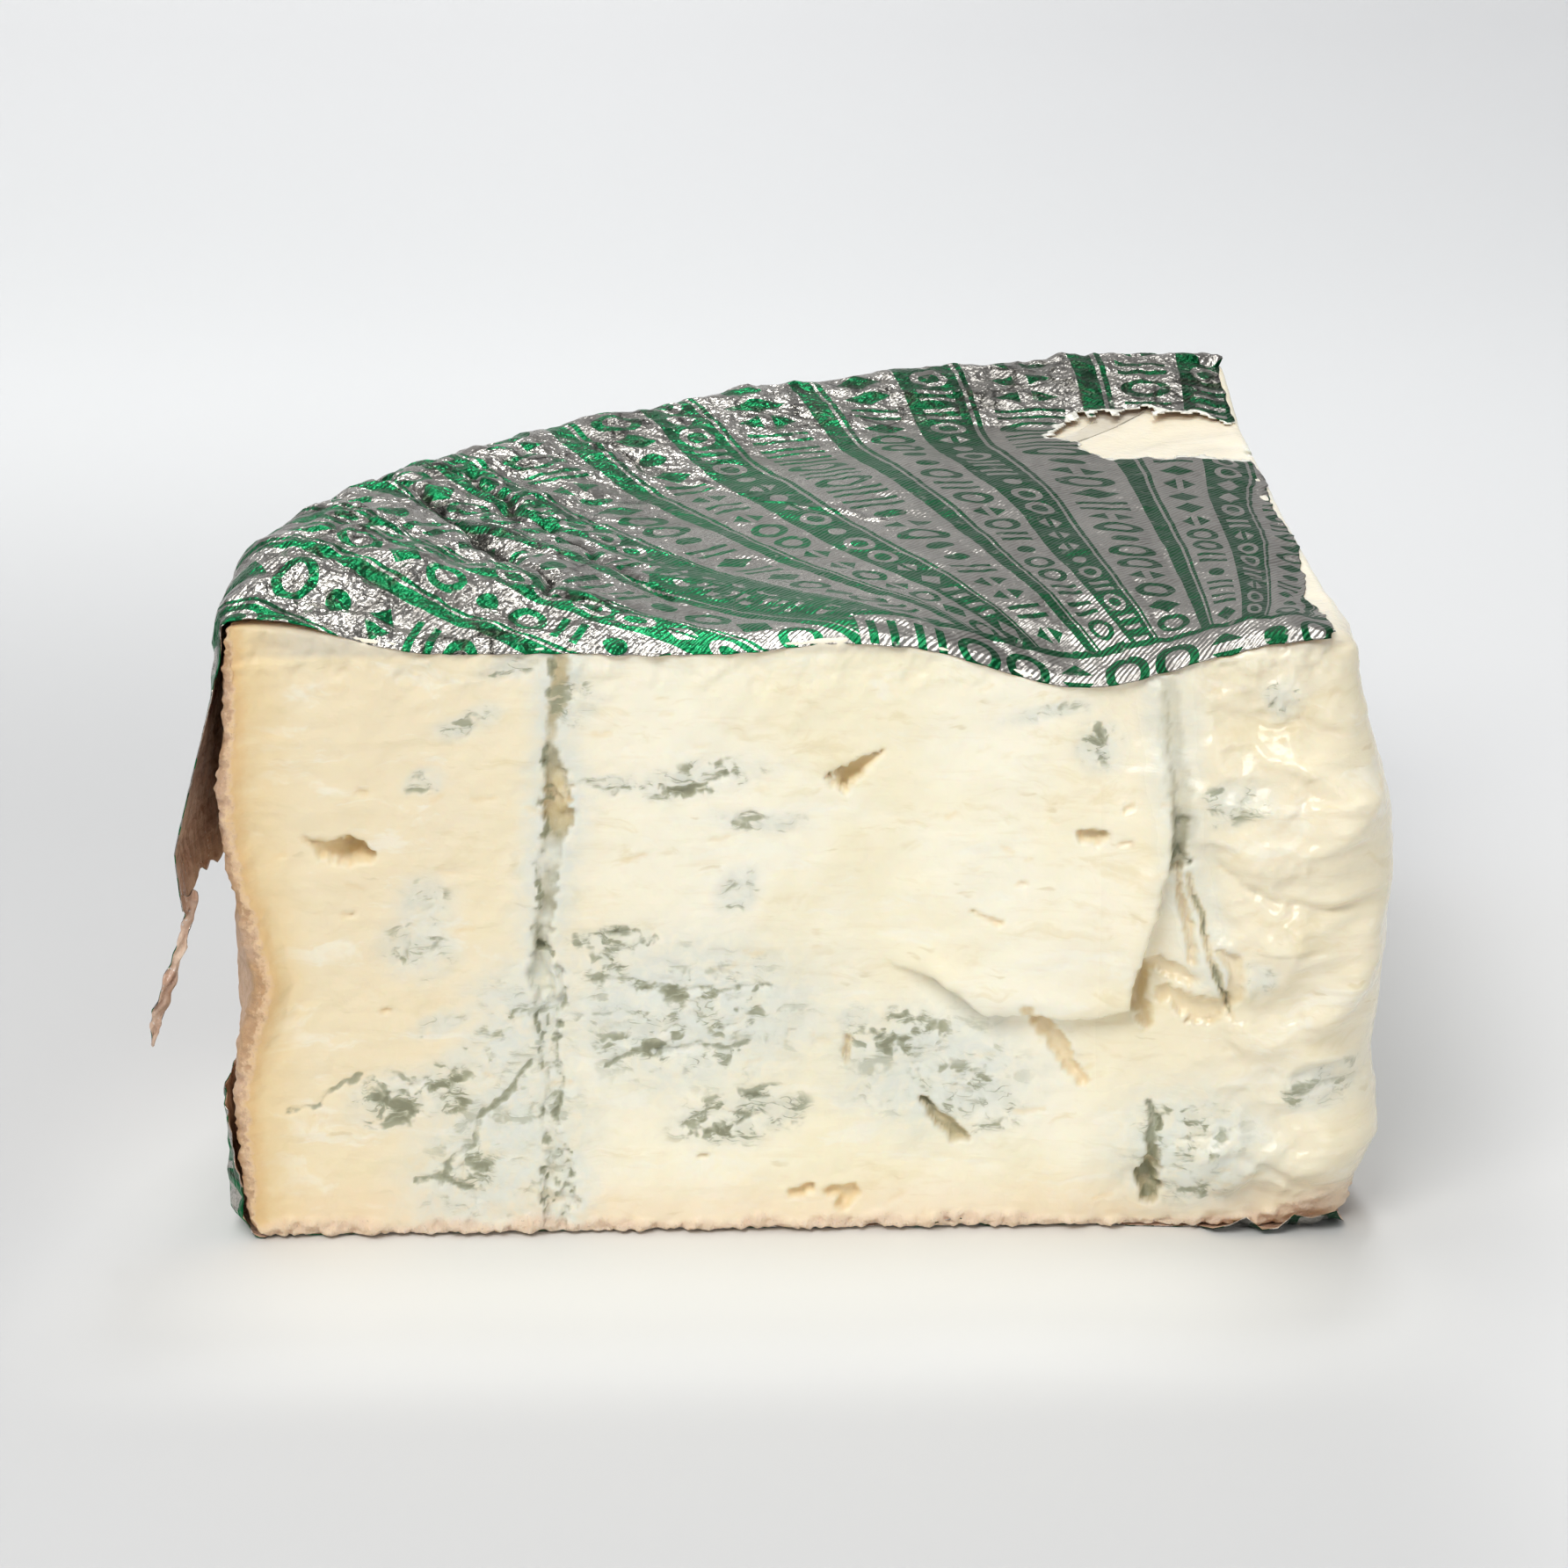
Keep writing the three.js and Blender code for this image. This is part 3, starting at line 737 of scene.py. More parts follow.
# %% How the foil lies
FOIL_GAP = 0.3
FOIL_RISE = 0.5
SKIRT_DROP = 34
FLAT_END = WHEEL_RADIUS - SHOULDER_ROUND
BEND_LENGTH = 0.5 * math.pi * SHOULDER_ROUND
FAN_X = -17.0
FAN_Y = -45.0
DEEP_CREASES = [((-130, 66), (-103, 12), 2.6), ((-121, 72), (-92, 20), 2.2), ((-96, 92), (-60, 60), 1.2)]


def skirt_depth(angle):
    along = angle * WHEEL_RADIUS
    torn = 7 * np.sin(angle * 5.3 + 0.4) + 3.5 * np.sin(angle * 13 + 1)
    torn = torn - 3 * smoothstep(1, 10, along) * (1 - smoothstep(55, 80, along))
    ragged = 1.6 * noise(flat_places(along / 4, 0 * along), 81)
    ragged = ragged + 0.9 * noise(flat_places(along / 1.2, 0 * along), 82)
    return SKIRT_DROP + torn + ragged


def flap_offset(angle, depth):
    along = angle * WHEEL_RADIUS
    door = 1 - smoothstep(0, 30, along)
    return door * np.interp(depth, [0, 3, 13, 21, 27, 33, 40], [0, 0.9, 3.0, 4.8, 6.1, 5.4, 4.4])


def crumple_height(flat_x, flat_y, travel):
    """How far the creases stand up. Strong at the left and over the rim, weak in the middle."""
    places = flat_places(flat_x, flat_y)
    left = 1 - smoothstep(-122, -76, flat_x)
    rim = smoothstep(112, 140, travel)
    rough = np.clip(0.3 + 0.8 * left + 0.8 * rim, 0, 1.1)
    creases = 3.4 * folds(places, 10, 91) + 2.0 * folds(places, 4, 92)
    bearing = np.arctan2(flat_y - FAN_Y, flat_x - FAN_X)
    from_fan = np.hypot(flat_y - FAN_Y, flat_x - FAN_X)
    long_folds = 1.3 * np.abs(noise(flat_places(bearing * 7, from_fan / 60), 93))
    long_folds = long_folds + 0.5 * np.abs(noise(flat_places(bearing * 19, from_fan / 30), 104))
    wavy_x = flat_x + 4 * noise(places / 9, 94)
    wavy_y = flat_y + 2 * noise(places / 4, 94)
    for start, end, depth in DEEP_CREASES:
        away, _ = distance_to([start, end], wavy_x, wavy_y)
        creases = creases - depth * bell(away, 1.3)
        rough = rough + 0.4 * depth * bell(away, 0.8)
    return np.maximum(rough * creases * 0.8 + long_folds, 0), rough


def foil_profile(columns):
    """Radius, height and travel along the sheet for each row: flat top, bend over the rim, skirt."""
    flat_rows = np.linspace(1, FLAT_END, 200)
    bend_rows = np.linspace(0, 1, 10)[1:]
    skirt_rows = np.linspace(0, 1, 44)[1:]
    shoulder_z = RIM_HEIGHT - SHOULDER_ROUND

    flat = flat_rows[:, None] + 0 * columns
    flat_z = top_height(-np.cos(columns) * flat, np.sin(columns) * flat) + FOIL_RISE
    turn = 0.5 * math.pi * bend_rows[:, None] + 0 * columns
    fuller = (rind_radius(shoulder_z) - WHEEL_RADIUS) * bend_rows[:, None]
    sharp_corner = 1 / np.maximum(np.sin(turn), np.cos(turn)) - 1
    squarer = 1 + 0.8 * bell(columns * WHEEL_RADIUS, 7) * sharp_corner
    bend = FLAT_END + (SHOULDER_ROUND + FOIL_GAP) * np.sin(turn) * squarer + fuller
    bend_z = shoulder_z + (SHOULDER_ROUND + FOIL_RISE) * np.cos(turn) * squarer
    depth = skirt_rows[:, None] * (skirt_depth(columns) - SHOULDER_ROUND)
    skirt = rind_radius(shoulder_z - depth) + FOIL_GAP + flap_offset(columns, depth)

    bend_travel = FLAT_END + BEND_LENGTH * bend_rows[:, None] + 0 * columns
    travel = np.vstack([flat, bend_travel, FLAT_END + BEND_LENGTH + depth])
    upright = np.concatenate([np.zeros(len(flat_rows)), bend_rows, np.ones(len(skirt_rows))])[:, None]
    return np.vstack([flat, bend, skirt]), np.vstack([flat_z, bend_z, shoulder_z - depth]), travel, upright


# %% How far the foil's creases and pleats stand up
def foil_raise(angle, travel, sheet):
    raise_by, rough = crumple_height(sheet[..., 0], sheet[..., 1], travel)
    pleats = np.abs(noise(flat_places(angle * 26, travel / 22), 95))
    pleats = pleats + 0.6 * np.abs(noise(flat_places(angle * 70, travel / 9), 102))
    pleats = pleats * smoothstep(-0.5, 0.6, noise(flat_places(angle * 9, travel / 30), 103))
    settled = 0.8 - 0.4 * smoothstep(0.5, 0.9, angle) * smoothstep(100, 130, travel)
    raise_by = settled * raise_by * (0.15 + 0.85 * smoothstep(0, 7, sheet[..., 1]))
    raise_by = raise_by + 0.35 * pleats * smoothstep(126, 146, travel)
    raise_by = raise_by + 1.1 * folds(sheet, 3, 107) * smoothstep(122, 140, travel)
    arc = angle * WHEEL_RADIUS
    loose_left = (bell(arc - 38, 30) + 0.6 * bell(arc - 20, 12)) * smoothstep(2, 16, sheet[..., 1])
    raise_by = raise_by + 3.6 * loose_left * smoothstep(80, 134, travel) * (1 - smoothstep(140, 156, travel))
    return raise_by * (1 - 0.8 * bell(arc, 26) * smoothstep(150, 160, travel)), rough


def settle_edges(x, y, z, travel):
    """Wavy cut edges that sink onto the cheese: along the front cut and along the second cut."""
    on_top = travel < FLAT_END
    front_edge = bell(y, 1.9) * (1 - smoothstep(FLAT_END - 14, FLAT_END, travel))
    right_edge = bell(x, 5) * on_top
    wave = noise(flat_places(x / 8, y / 8), 96) + 0.6 * noise(flat_places(x / 2.5, y / 2.5), 97)
    y = y - front_edge * (0.5 + 0.7 * wave + 1.7 * bell(x + 20, 22))
    slow = noise(flat_places(y / 9, 0 * y), 105) + 0.4 * noise(flat_places(y / 3, 0 * y), 106)
    x = x - right_edge * (2.4 - 1.6 * smoothstep(15, 50, y) - 1.2 * slow)
    flat_top = top_height(x, y) + 0.1 + 0.5 * np.clip(wave, 0, 1)
    z = np.where(on_top, z + (np.minimum(z, flat_top) - z) * np.maximum(front_edge, right_edge), z)
    z = z - (0.6 + 0.6 * np.clip(wave, 0, 1)) * front_edge**5
    return np.stack([x, y, z], axis=-1)


def top_foil_grid():
    columns = np.linspace(0, 0.5 * math.pi, 300)
    radius, z, travel, upright = foil_profile(columns)
    angle = np.broadcast_to(columns, travel.shape)
    out_x = -np.cos(angle)
    out_y = np.sin(angle)
    sheet = np.stack([out_x * travel, out_y * travel, 0 * travel], axis=-1)
    raise_by, rough = foil_raise(angle, travel, sheet)
    radius = radius + raise_by * np.sin(0.5 * math.pi * upright)
    z = z + raise_by * np.cos(0.5 * math.pi * upright)
    return settle_edges(out_x * radius, out_y * radius, z, travel), sheet, travel, rough


print("the foil's flat part ends", FLAT_END, "mm from the axis")

# %% The torn-out patch and the top foil's faces
PATCH_MIDDLE = 110
PATCH_START = -28


def from_bare_patch(sheet):
    """How far outside the torn-out patch a point is, in mm. The patch is beside the second cut."""
    x = sheet[..., 0] + 3 * noise(sheet / 6, 98) + 1.3 * noise(sheet / 1.8, 99)
    y = sheet[..., 1] + 3 * noise(sheet / 6, 100) + 1.3 * noise(sheet / 1.8, 101)
    half = np.interp(x, [PATCH_START, -22, -8, 0], [5, 12, 13, 10])
    return np.hypot(np.minimum(x - PATCH_START, 0), np.maximum(np.abs(y - PATCH_MIDDLE) - half, 0)) - 0.5


def grid_quads(rows, columns, start=0):
    row = np.arange(rows - 1)[:, None] * columns
    column = np.arange(columns - 1)[None, :]
    here = start + row + column
    return np.stack([here, here + columns, here + columns + 1, here + 1], axis=-1).reshape(-1, 4)


def turned_over(quads):
    """The same faces, looking the other way."""
    return quads[:, ::-1]


foil_places, foil_sheet, foil_travel, foil_rough = top_foil_grid()
foil_rows, foil_columns = foil_travel.shape
quads = turned_over(grid_quads(foil_rows, foil_columns))
patch_distance = from_bare_patch(foil_sheet)
torn_out = patch_distance.ravel() < 0
quads = quads[~torn_out[quads].any(axis=1)]
print("top foil grid:", foil_rows, "by", foil_columns, "and", int(torn_out.sum()), "points torn out")

# %% The torn strip that hangs below the flap
STRIP_LENGTH = 22


def strip_grid(top_end):
    """A narrow ribbon that leaves the flap's lowest point with its lining to the front."""
    down = np.linspace(0, 1, 60)[:, None]
    across = np.linspace(-1, 1, 11)[None, :]
    half_width = np.interp(
        down, [0, 0.1, 0.25, 0.4, 0.62, 0.72, 0.85, 1], [1.0, 0.8, 0.55, 0.75, 1.2, 1.1, 0.7, 0.2]
    )
    half_width = half_width * (1 + 0.15 * np.sin(down * 37))
    twist = 1.2 + 0.35 * np.sin(down * 8)
    middle_x = top_end[0] - np.interp(down, [0, 0.1, 0.36, 0.62, 0.8, 1], [-0.7, -0.6, 0.8, 3.0, 4.4, 5.2])
    middle_y = top_end[1] + 0.4 + 0.8 * np.sin(down * 7)
    crumple = 0.18 * np.sin(across * 4 + down * 23) + 0.15 * np.sin(down * 57 + across * 3)
    x = middle_x + half_width * across * np.sin(twist) - crumple * np.cos(twist)
    y = middle_y + half_width * across * np.cos(twist) + crumple * np.sin(twist)
    z = top_end[2] + 3 - STRIP_LENGTH * down + 0.3 * np.sin(across * 3 + down * 11)
    places = np.stack([x, y, z + 0 * x], axis=-1)
    far = FLAT_END + BEND_LENGTH + SKIRT_DROP + STRIP_LENGTH * down
    sheet = np.stack([-far + 0 * x, 4 + half_width * across, 0 * x], axis=-1)
    return places, sheet


strip_places, strip_sheet = strip_grid(foil_places[-1, 3])
strip_quads = turned_over(grid_quads(*strip_places.shape[:2], start=foil_rows * foil_columns))
top_vertices = np.vstack([foil_places.reshape(-1, 3), strip_places.reshape(-1, 3)])
top_foil = build_mesh("draped_foil", top_vertices, np.vstack([quads, strip_quads]))
give_values(top_foil, "sheet", np.vstack([foil_sheet.reshape(-1, 3), strip_sheet.reshape(-1, 3)]))
peeled = np.append(1 - smoothstep(0.2, 3.2, patch_distance.ravel()), np.zeros(strip_sheet[..., 0].size))
give_values(top_foil, "peeled", peeled)
give_values(top_foil, "crease", np.append(foil_rough.ravel(), np.ones(strip_sheet[..., 0].size)))


def drop_loose_points(made):
    """Delete points that no face uses, left where the foil was torn out."""
    shape = bmesh.new()
    shape.from_mesh(made.data)
    loose = [vertex for vertex in shape.verts if not vertex.link_faces]
    bmesh.ops.delete(shape, geom=loose, context="VERTS")
    shape.to_mesh(made.data)
    shape.free()


def thicken(made, thickness):
    """Give a sheet its thickness. The inner side takes the second finish, the cut rim the first."""
    solid = made.modifiers.new("thickness", "SOLIDIFY")
    solid.thickness = thickness * MM
    solid.offset = -1
    solid.material_offset = 1
    solid.material_offset_rim = 0
    solid.use_even_offset = False


drop_loose_points(top_foil)
thicken(top_foil, 0.16)
print("top foil:", len(top_foil.data.polygons), "faces before its thickness")

# %% [markdown]
# ## The base foil
# The wheel stood on a second foil, which was folded up round the foot of the rind. Cut through
# with the cheese, it shows as a thin, crinkled silver line under the front, with a few bits that
# the knife turned up, and as a loose cuff round the rind.

# %% The base foil's sheet
CUFF_HEIGHT = 19


def cuff_top(angle):
    along = flat_places(angle * 38, 0 * angle)
    waves = 4 * np.sin(angle * 7 + 2) + 2 * np.sin(angle * 17) + 1.4 * noise(along, 111)
    return CUFF_HEIGHT - 4.5 * bell(angle * WHEEL_RADIUS, 12) + waves


def base_foil_grid():
    columns = np.linspace(0, 0.5 * math.pi, 280)
    bend = SHOULDER_ROUND / 2
    flat_end = WHEEL_RADIUS - bend
    flat_rows = np.concatenate([np.linspace(1, flat_end - 16, 60), np.linspace(flat_end - 15, flat_end, 16)])
    bend_rows = np.linspace(0, 1, 7)[1:]
    cuff_rows = np.linspace(0, 1, 26)[1:]
    rows = len(flat_rows) + len(bend_rows) + len(cuff_rows)
    angle = np.broadcast_to(columns, (rows, len(columns)))
    level = 0.06
    turn = 0.5 * math.pi * bend_rows[:, None] + 0 * columns
    foot = level + bend
    cuff_z = foot + (cuff_top(columns) - foot) * cuff_rows[:, None]
    radius = np.vstack([
        flat_rows[:, None] + 0 * columns,
        flat_end + (bend + FOIL_GAP) * np.sin(turn),
        rind_radius(cuff_z) + FOIL_GAP,
    ])
    z = np.vstack([
        level + 0 * columns + 0 * flat_rows[:, None],
        level + bend * (1 - np.cos(turn)),
        cuff_z,
    ])
    travel = np.vstack([
        flat_rows[:, None] + 0 * columns,
        flat_end + 0.5 * math.pi * bend * bend_rows[:, None] + 0 * columns,
        flat_end + 0.5 * math.pi * bend + cuff_z - foot,
    ])
    out_x = -np.cos(angle)
    out_y = np.sin(angle)
    sheet = np.stack([out_x * travel, out_y * travel, 0 * travel], axis=-1)
    upright = smoothstep(flat_end, flat_end + 5, travel)
    cuff_share = np.concatenate([np.zeros(rows - len(cuff_rows)), cuff_rows])[:, None]
    crease = 1.8 * folds(sheet, 6, 112) + 0.8 * folds(sheet, 2.6, 113)
    arc = angle * WHEEL_RADIUS
    loose = 0.7 * smoothstep(0.3, 0.7, cuff_share) * bell(arc, 14)
    bulge = 1.5 * (1 - smoothstep(0.35, 0.8, cuff_share)) * bell(arc - 6, 4.5)
    radius = radius + upright * (crease * 0.8 * (0.25 + 0.75 * smoothstep(0, 4, arc)) + bulge) + loose
    x = out_x * radius
    y = out_y * radius

    along = -x
    lying = travel < flat_end
    x = x + 0.8 * corner_chip(x, y, z) * upright
    sag = np.maximum(tip_sag(x, y, 3 + 0 * x), 0)
    edge = lying * bell(y, 2.2)
    shown = 0.7 * noise(flat_places(along / 9, 0 * along), 114)
    shown = shown + 0.5 * noise(flat_places(along / 2.2, 0 * along), 115)
    turned_up = smoothstep(-1, 1, along) * (1 - smoothstep(17, 19, along))
    turned_up = np.maximum(turned_up, 0.5 * smoothstep(48, 51, along) * (1 - smoothstep(57, 60, along)))
    curl = np.clip(noise(flat_places(along / 5, 0 * along), 116) + 0.6, 0.2, 1.3)
    y = y - edge * (np.clip(shown, -0.4, 0.9) - 1.3 + 2.7 * turned_up + sag)
    z = z + edge**2 * 0.25 * np.maximum(shown, 0) + edge**5 * 3.4 * turned_up * curl
    side = lying * bell(x, 2.2)
    x = x + side * (0.9 * sag - 0.6)
    x = x + side * 0.6 * noise(flat_places(y / 7, 0 * y), 117)
    return np.stack([x, y, z], axis=-1), sheet


base_places, base_sheet = base_foil_grid()
base_foil = build_mesh("base_wrap", base_places.reshape(-1, 3), grid_quads(*base_places.shape[:2]))
give_values(base_foil, "sheet", base_sheet.reshape(-1, 3))
give_values(base_foil, "crease", np.ones(base_sheet[..., 0].size))
drop_loose_points(base_foil)
thicken(base_foil, 0.14)
print("base foil:", len(base_foil.data.polygons), "faces before its thickness")

# %% [markdown]
# ## Building finishes from nodes
# A finish is a small network of nodes. These helpers keep each network readable: one call makes
# a node, sets its values and joins what feeds it.

# %% Node helpers
def add(tree, kind, inputs=None, **settings):
    made = tree.nodes.new(kind)
    for name, value in settings.items():
        setattr(made, name, value)
    for name, value in (inputs or {}).items():
        if isinstance(value, bpy.types.NodeSocket):
            tree.links.new(value, made.inputs[name])
        else:
            made.inputs[name].default_value = value
    return made


def calc(tree, operation, first, second=0.0, third=None, clamp=False):
    inputs = {0: first, 1: second}
    if third is not None:
        inputs[2] = third
    return add(tree, "ShaderNodeMath", inputs, operation=operation, use_clamp=clamp).outputs[0]


def times(tree, first, second, clamp=False):
    return calc(tree, "MULTIPLY", first, second, clamp=clamp)


def mix(tree, share, first, second):
    """Mix two colours."""
    return add(tree, "ShaderNodeMix", {0: share, 6: first, 7: second}, data_type="RGBA").outputs[2]


def laid_over(tree, under, mask, amount, tone):
    """A colour with another one laid over it where a mask says, up to an amount from 0 to 1."""
    return mix(tree, times(tree, mask, amount), under, tone)


def step(tree, value, low, high, start=0.0, end=1.0):
    inputs = {"Value": value, "From Min": low, "From Max": high, "To Min": start, "To Max": end}
    return add(tree, "ShaderNodeMapRange", inputs, interpolation_type="SMOOTHSTEP").outputs[0]


# %% Node helpers for masks, chance and noise
def combine(tree, first, second, third=0.0):
    return add(tree, "ShaderNodeCombineXYZ", {0: first, 1: second, 2: third}).outputs[0]


def chance(tree, first, second, third):
    """The same random number from 0 to 1 wherever the three inputs are the same."""
    key = combine(tree, first, second, third)
    return add(tree, "ShaderNodeTexWhiteNoise", {"Vector": key}).outputs["Value"]


def between(tree, value, low, high):
    above = calc(tree, "GREATER_THAN", value, low)
    return times(tree, above, calc(tree, "LESS_THAN", value, high))


def length_of(tree, first, second):
    total = calc(tree, "MULTIPLY_ADD", first, first, times(tree, second, second))
    return calc(tree, "SQRT", total)


def either(tree, first, second):
    return calc(tree, "MAXIMUM", first, second)


def without(tree, value):
    return calc(tree, "SUBTRACT", 1.0, value)


def texture_noise(tree, places, scale, detail=3.0, roughness=0.55, distortion=0.0):
    inputs = {
        "Vector": places, "Scale": scale, "Detail": detail, "Roughness": roughness, "Distortion": distortion,
    }
    return add(tree, "ShaderNodeTexNoise", inputs).outputs[0]


def stored(tree, name, output="Fac"):
    return add(tree, "ShaderNodeAttribute", attribute_name=name).outputs[output]


def stretched(tree, places, scale, turn=(0, 0, 0)):
    """Places squeezed and turned, so that a noise made from them runs in one direction."""
    inputs = {"Vector": places, "Scale": scale, "Rotation": turn}
    return add(tree, "ShaderNodeMapping", inputs).outputs[0]


def colour(red, green, blue):
    return (red, green, blue, 1.0)


# %% Helpers for whole finishes and groups
def new_finish(name):
    """A material with a Principled shader, and the node tree that holds it."""
    material = bpy.data.materials.new(name)
    material.use_nodes = True
    tree = material.node_tree
    shader = tree.nodes["Principled BSDF"]
    return material, tree, shader


def set_sockets(shader, **values):
    for name, value in values.items():
        shader.inputs[name.replace("_", " ")].default_value = value


def new_group(name, inputs, outputs):
    """An empty node group with named sockets. Each entry is name: (socket kind, default)."""
    group = bpy.data.node_groups.new(name, "ShaderNodeTree")
    for socket, (kind, value) in inputs.items():
        made = group.interface.new_socket(socket, in_out="INPUT", socket_type=kind)
        if value is not None:
            made.default_value = value
    for socket, kind in outputs.items():
        group.interface.new_socket(socket, in_out="OUTPUT", socket_type=kind)
    return group, group.nodes.new("NodeGroupInput").outputs, group.nodes.new("NodeGroupOutput").inputs


def use_group(tree, group, **inputs):
    made = tree.nodes.new("ShaderNodeGroup")
    made.node_tree = group
    for name, value in inputs.items():
        socket = made.inputs[name.replace("_", " ")]
        if isinstance(value, bpy.types.NodeSocket):
            tree.links.new(value, socket)
        else:
            socket.default_value = value
    return made.outputs


NUMBER = "NodeSocketFloat"
VECTOR = "NodeSocketVector"

# %% [markdown]
# ## Effects that several finishes share
# Blotches break up every surface here: the paste, the rind, the lining and the metal. Fine
# crinkle is on both foils and on the lining. Both are made once as groups and placed with their
# own values.

# %% The blotches group
blotches, given, gives = new_group(
    "Blotches",
    {
        "Places": (VECTOR, None), "Scale": (NUMBER, 60.0), "Low": (NUMBER, 0.4), "High": (NUMBER, 0.6),
        "Warp": (NUMBER, 0.4),
    },
    {"Mask": NUMBER},
)
cloud = texture_noise(blotches, given["Places"], given["Scale"], 4.0, 0.6, given["Warp"])
blotches.links.new(step(blotches, cloud, given["Low"], given["High"]), gives["Mask"])

# %% The crinkle group: small flat facets and a fine woven emboss
crinkle, given, gives = new_group(
    "Foil crinkle",
    {"Places": (VECTOR, None), "Crease": (NUMBER, 1.0), "Emboss": (NUMBER, 0.3)},
    {"Height": NUMBER},
)
facet_sum = 0.0
for facet_scale, facet_share in ((105.0, 0.75), (240.0, 0.42), (560.0, 0.2), (1300.0, 0.08)):
    facet = add(
        crinkle, "ShaderNodeTexVoronoi", {"Vector": given["Places"], "Scale": facet_scale, "Randomness": 1.0},
        feature="F1", distance="MANHATTAN",
    ).outputs["Distance"]
    facet_sum = calc(crinkle, "MULTIPLY_ADD", facet, facet_share, facet_sum)
creased = times(crinkle, facet_sum, given["Crease"])
diagonal = stretched(crinkle, given["Places"], (1.0, 1.0, 1.0), (0.0, 0.0, math.radians(38)))
weave = add(
    crinkle, "ShaderNodeTexWave", {"Vector": diagonal, "Scale": 420.0, "Distortion": 1.2, "Detail": 1.0}
).outputs["Fac"]
crinkle.links.new(calc(crinkle, "MULTIPLY_ADD", weave, given["Emboss"], creased), gives["Height"])
print("groups:", blotches.name, "and", crinkle.name)

# %% [markdown]
# ## The cheese's finish
# Ripe paste is creamy ivory and lets a little light in, so it gets some subsurface scattering.
# It is yellower near the rind and the base, whiter round the mould, tan inside holes and grey in
# the needle channels. The masks from the mesh say where; noise here sharpens their edges, since
# a torn streak is finer than the mesh's squares. The rind is dry, pinkish and rough.

# %% Masks and noises for the paste
paste, tree, shader = new_finish("ripe_paste_and_rind")
places = add(tree, "ShaderNodeTexCoord").outputs["Object"]
wheel = add(tree, "ShaderNodeSeparateXYZ", {0: stored(tree, "wheel", "Vector")}).outputs
vein = stored(tree, "vein")
patch = stored(tree, "patch")
halo = stored(tree, "halo")
cavity = stored(tree, "cavity")
grey = stored(tree, "grey")

fine = texture_noise(tree, places, 900.0, 3.0, 0.65)
torn = texture_noise(tree, stretched(tree, places, (0.55, 0.55, 1.0)), 1300.0, 4.0, 0.7, 0.8)
broad = texture_noise(tree, places, 38.0, 3.0, 0.5, 0.5)
drag = texture_noise(tree, stretched(tree, places, (0.12, 0.12, 1.0)), 900.0, 3.0, 0.6)

swirl = add(tree, "ShaderNodeTexNoise", {"Vector": places, "Scale": 260.0, "Detail": 2.0}).outputs["Color"]
curled = add(
    tree, "ShaderNodeVectorMath", {0: swirl, 1: (0.0030, 0.0030, 0.0022), 2: places}, operation="MULTIPLY_ADD"
).outputs[0]

from_axis = length_of(tree, wheel[0], wheel[1])
jagged = calc(tree, "MULTIPLY_ADD", fine, 1.6, -0.8)
from_rind = calc(tree, "ADD", calc(tree, "SUBTRACT", WHEEL_RADIUS, from_axis), jagged)
from_base = calc(tree, "ADD", calc(tree, "SUBTRACT", wheel[2], CHEESE_FLOOR), jagged)
near_rind = step(tree, from_rind, 0.5, 11.0, 1.0, 0.0)
near_base = step(tree, from_base, 0.5, 11.0, 1.0, 0.0)

print("masks and noises:", len(tree.nodes), "nodes")

# %% The paste's creamy colours
ivory = mix(tree, step(tree, broad, 0.4, 0.62), colour(0.97, 0.91, 0.74), colour(0.94, 0.86, 0.64))
older = step(tree, from_rind, 15.0, 62.0, 1.0, 0.0)
ivory = laid_over(tree, ivory, older, 0.85, colour(0.87, 0.74, 0.50))
riper = step(tree, from_axis, 8.0, 48.0, 1.0, 0.0)
ivory = laid_over(tree, ivory, riper, 0.7, colour(0.87, 0.78, 0.58))
ivory = mix(tree, step(tree, drag, 0.55, 0.72, 0.0, 0.2), ivory, colour(0.82, 0.68, 0.45))
smears = texture_noise(tree, stretched(tree, curled, (0.35, 0.35, 1.0)), 210.0, 4.0, 0.65, 0.6)
ivory = mix(tree, step(tree, smears, 0.55, 0.7, 0.0, 0.5), ivory, colour(0.80, 0.69, 0.44))
ivory = mix(tree, step(tree, smears, 0.34, 0.46, 0.5, 0.0), ivory, colour(0.95, 0.92, 0.80))
dashes = texture_noise(tree, stretched(tree, curled, (0.3, 0.3, 1.1)), 520.0, 2.0, 0.5)
ivory = mix(tree, step(tree, dashes, 0.68, 0.76, 0.0, 0.45), ivory, colour(0.70, 0.59, 0.36))
# Painted shade: above 83 mm, on the cheese's top and the top edge of the cuts, the paste is darkened towards
# grey-tan in place of less light falling there.
ivory = mix(tree, step(tree, wheel[2], 83.0, 84.2, 0.0, 0.72), ivory, colour(0.68, 0.62, 0.50))
ivory = laid_over(tree, ivory, near_base, 0.55, colour(0.90, 0.68, 0.45))
ivory = laid_over(tree, ivory, near_rind, 0.8, colour(0.82, 0.62, 0.32))
ivory = mix(tree, step(tree, from_rind, 0.6, 3.4, 0.6, 0.0), ivory, colour(0.72, 0.44, 0.18))

print("with the creamy colours:", len(tree.nodes), "nodes")

# %% Halos, holes and mould
cloudy = use_group(tree, blotches, Places=places, Scale=320.0, Low=0.3, High=0.62, Warp=0.8)["Mask"]
halo_share = times(tree, halo, calc(tree, "MULTIPLY_ADD", cloudy, 0.5, 0.5), clamp=True)
pale = laid_over(tree, ivory, halo_share, 0.9, colour(0.74, 0.77, 0.71))

olive = mix(tree, fine, colour(0.33, 0.30, 0.17), colour(0.50, 0.47, 0.34))
tan = mix(tree, fine, colour(0.78, 0.53, 0.20), colour(0.87, 0.70, 0.40))
filled = laid_over(tree, pale, grey, 0.9, olive)
hollow = laid_over(tree, filled, cavity, 0.65, tan)

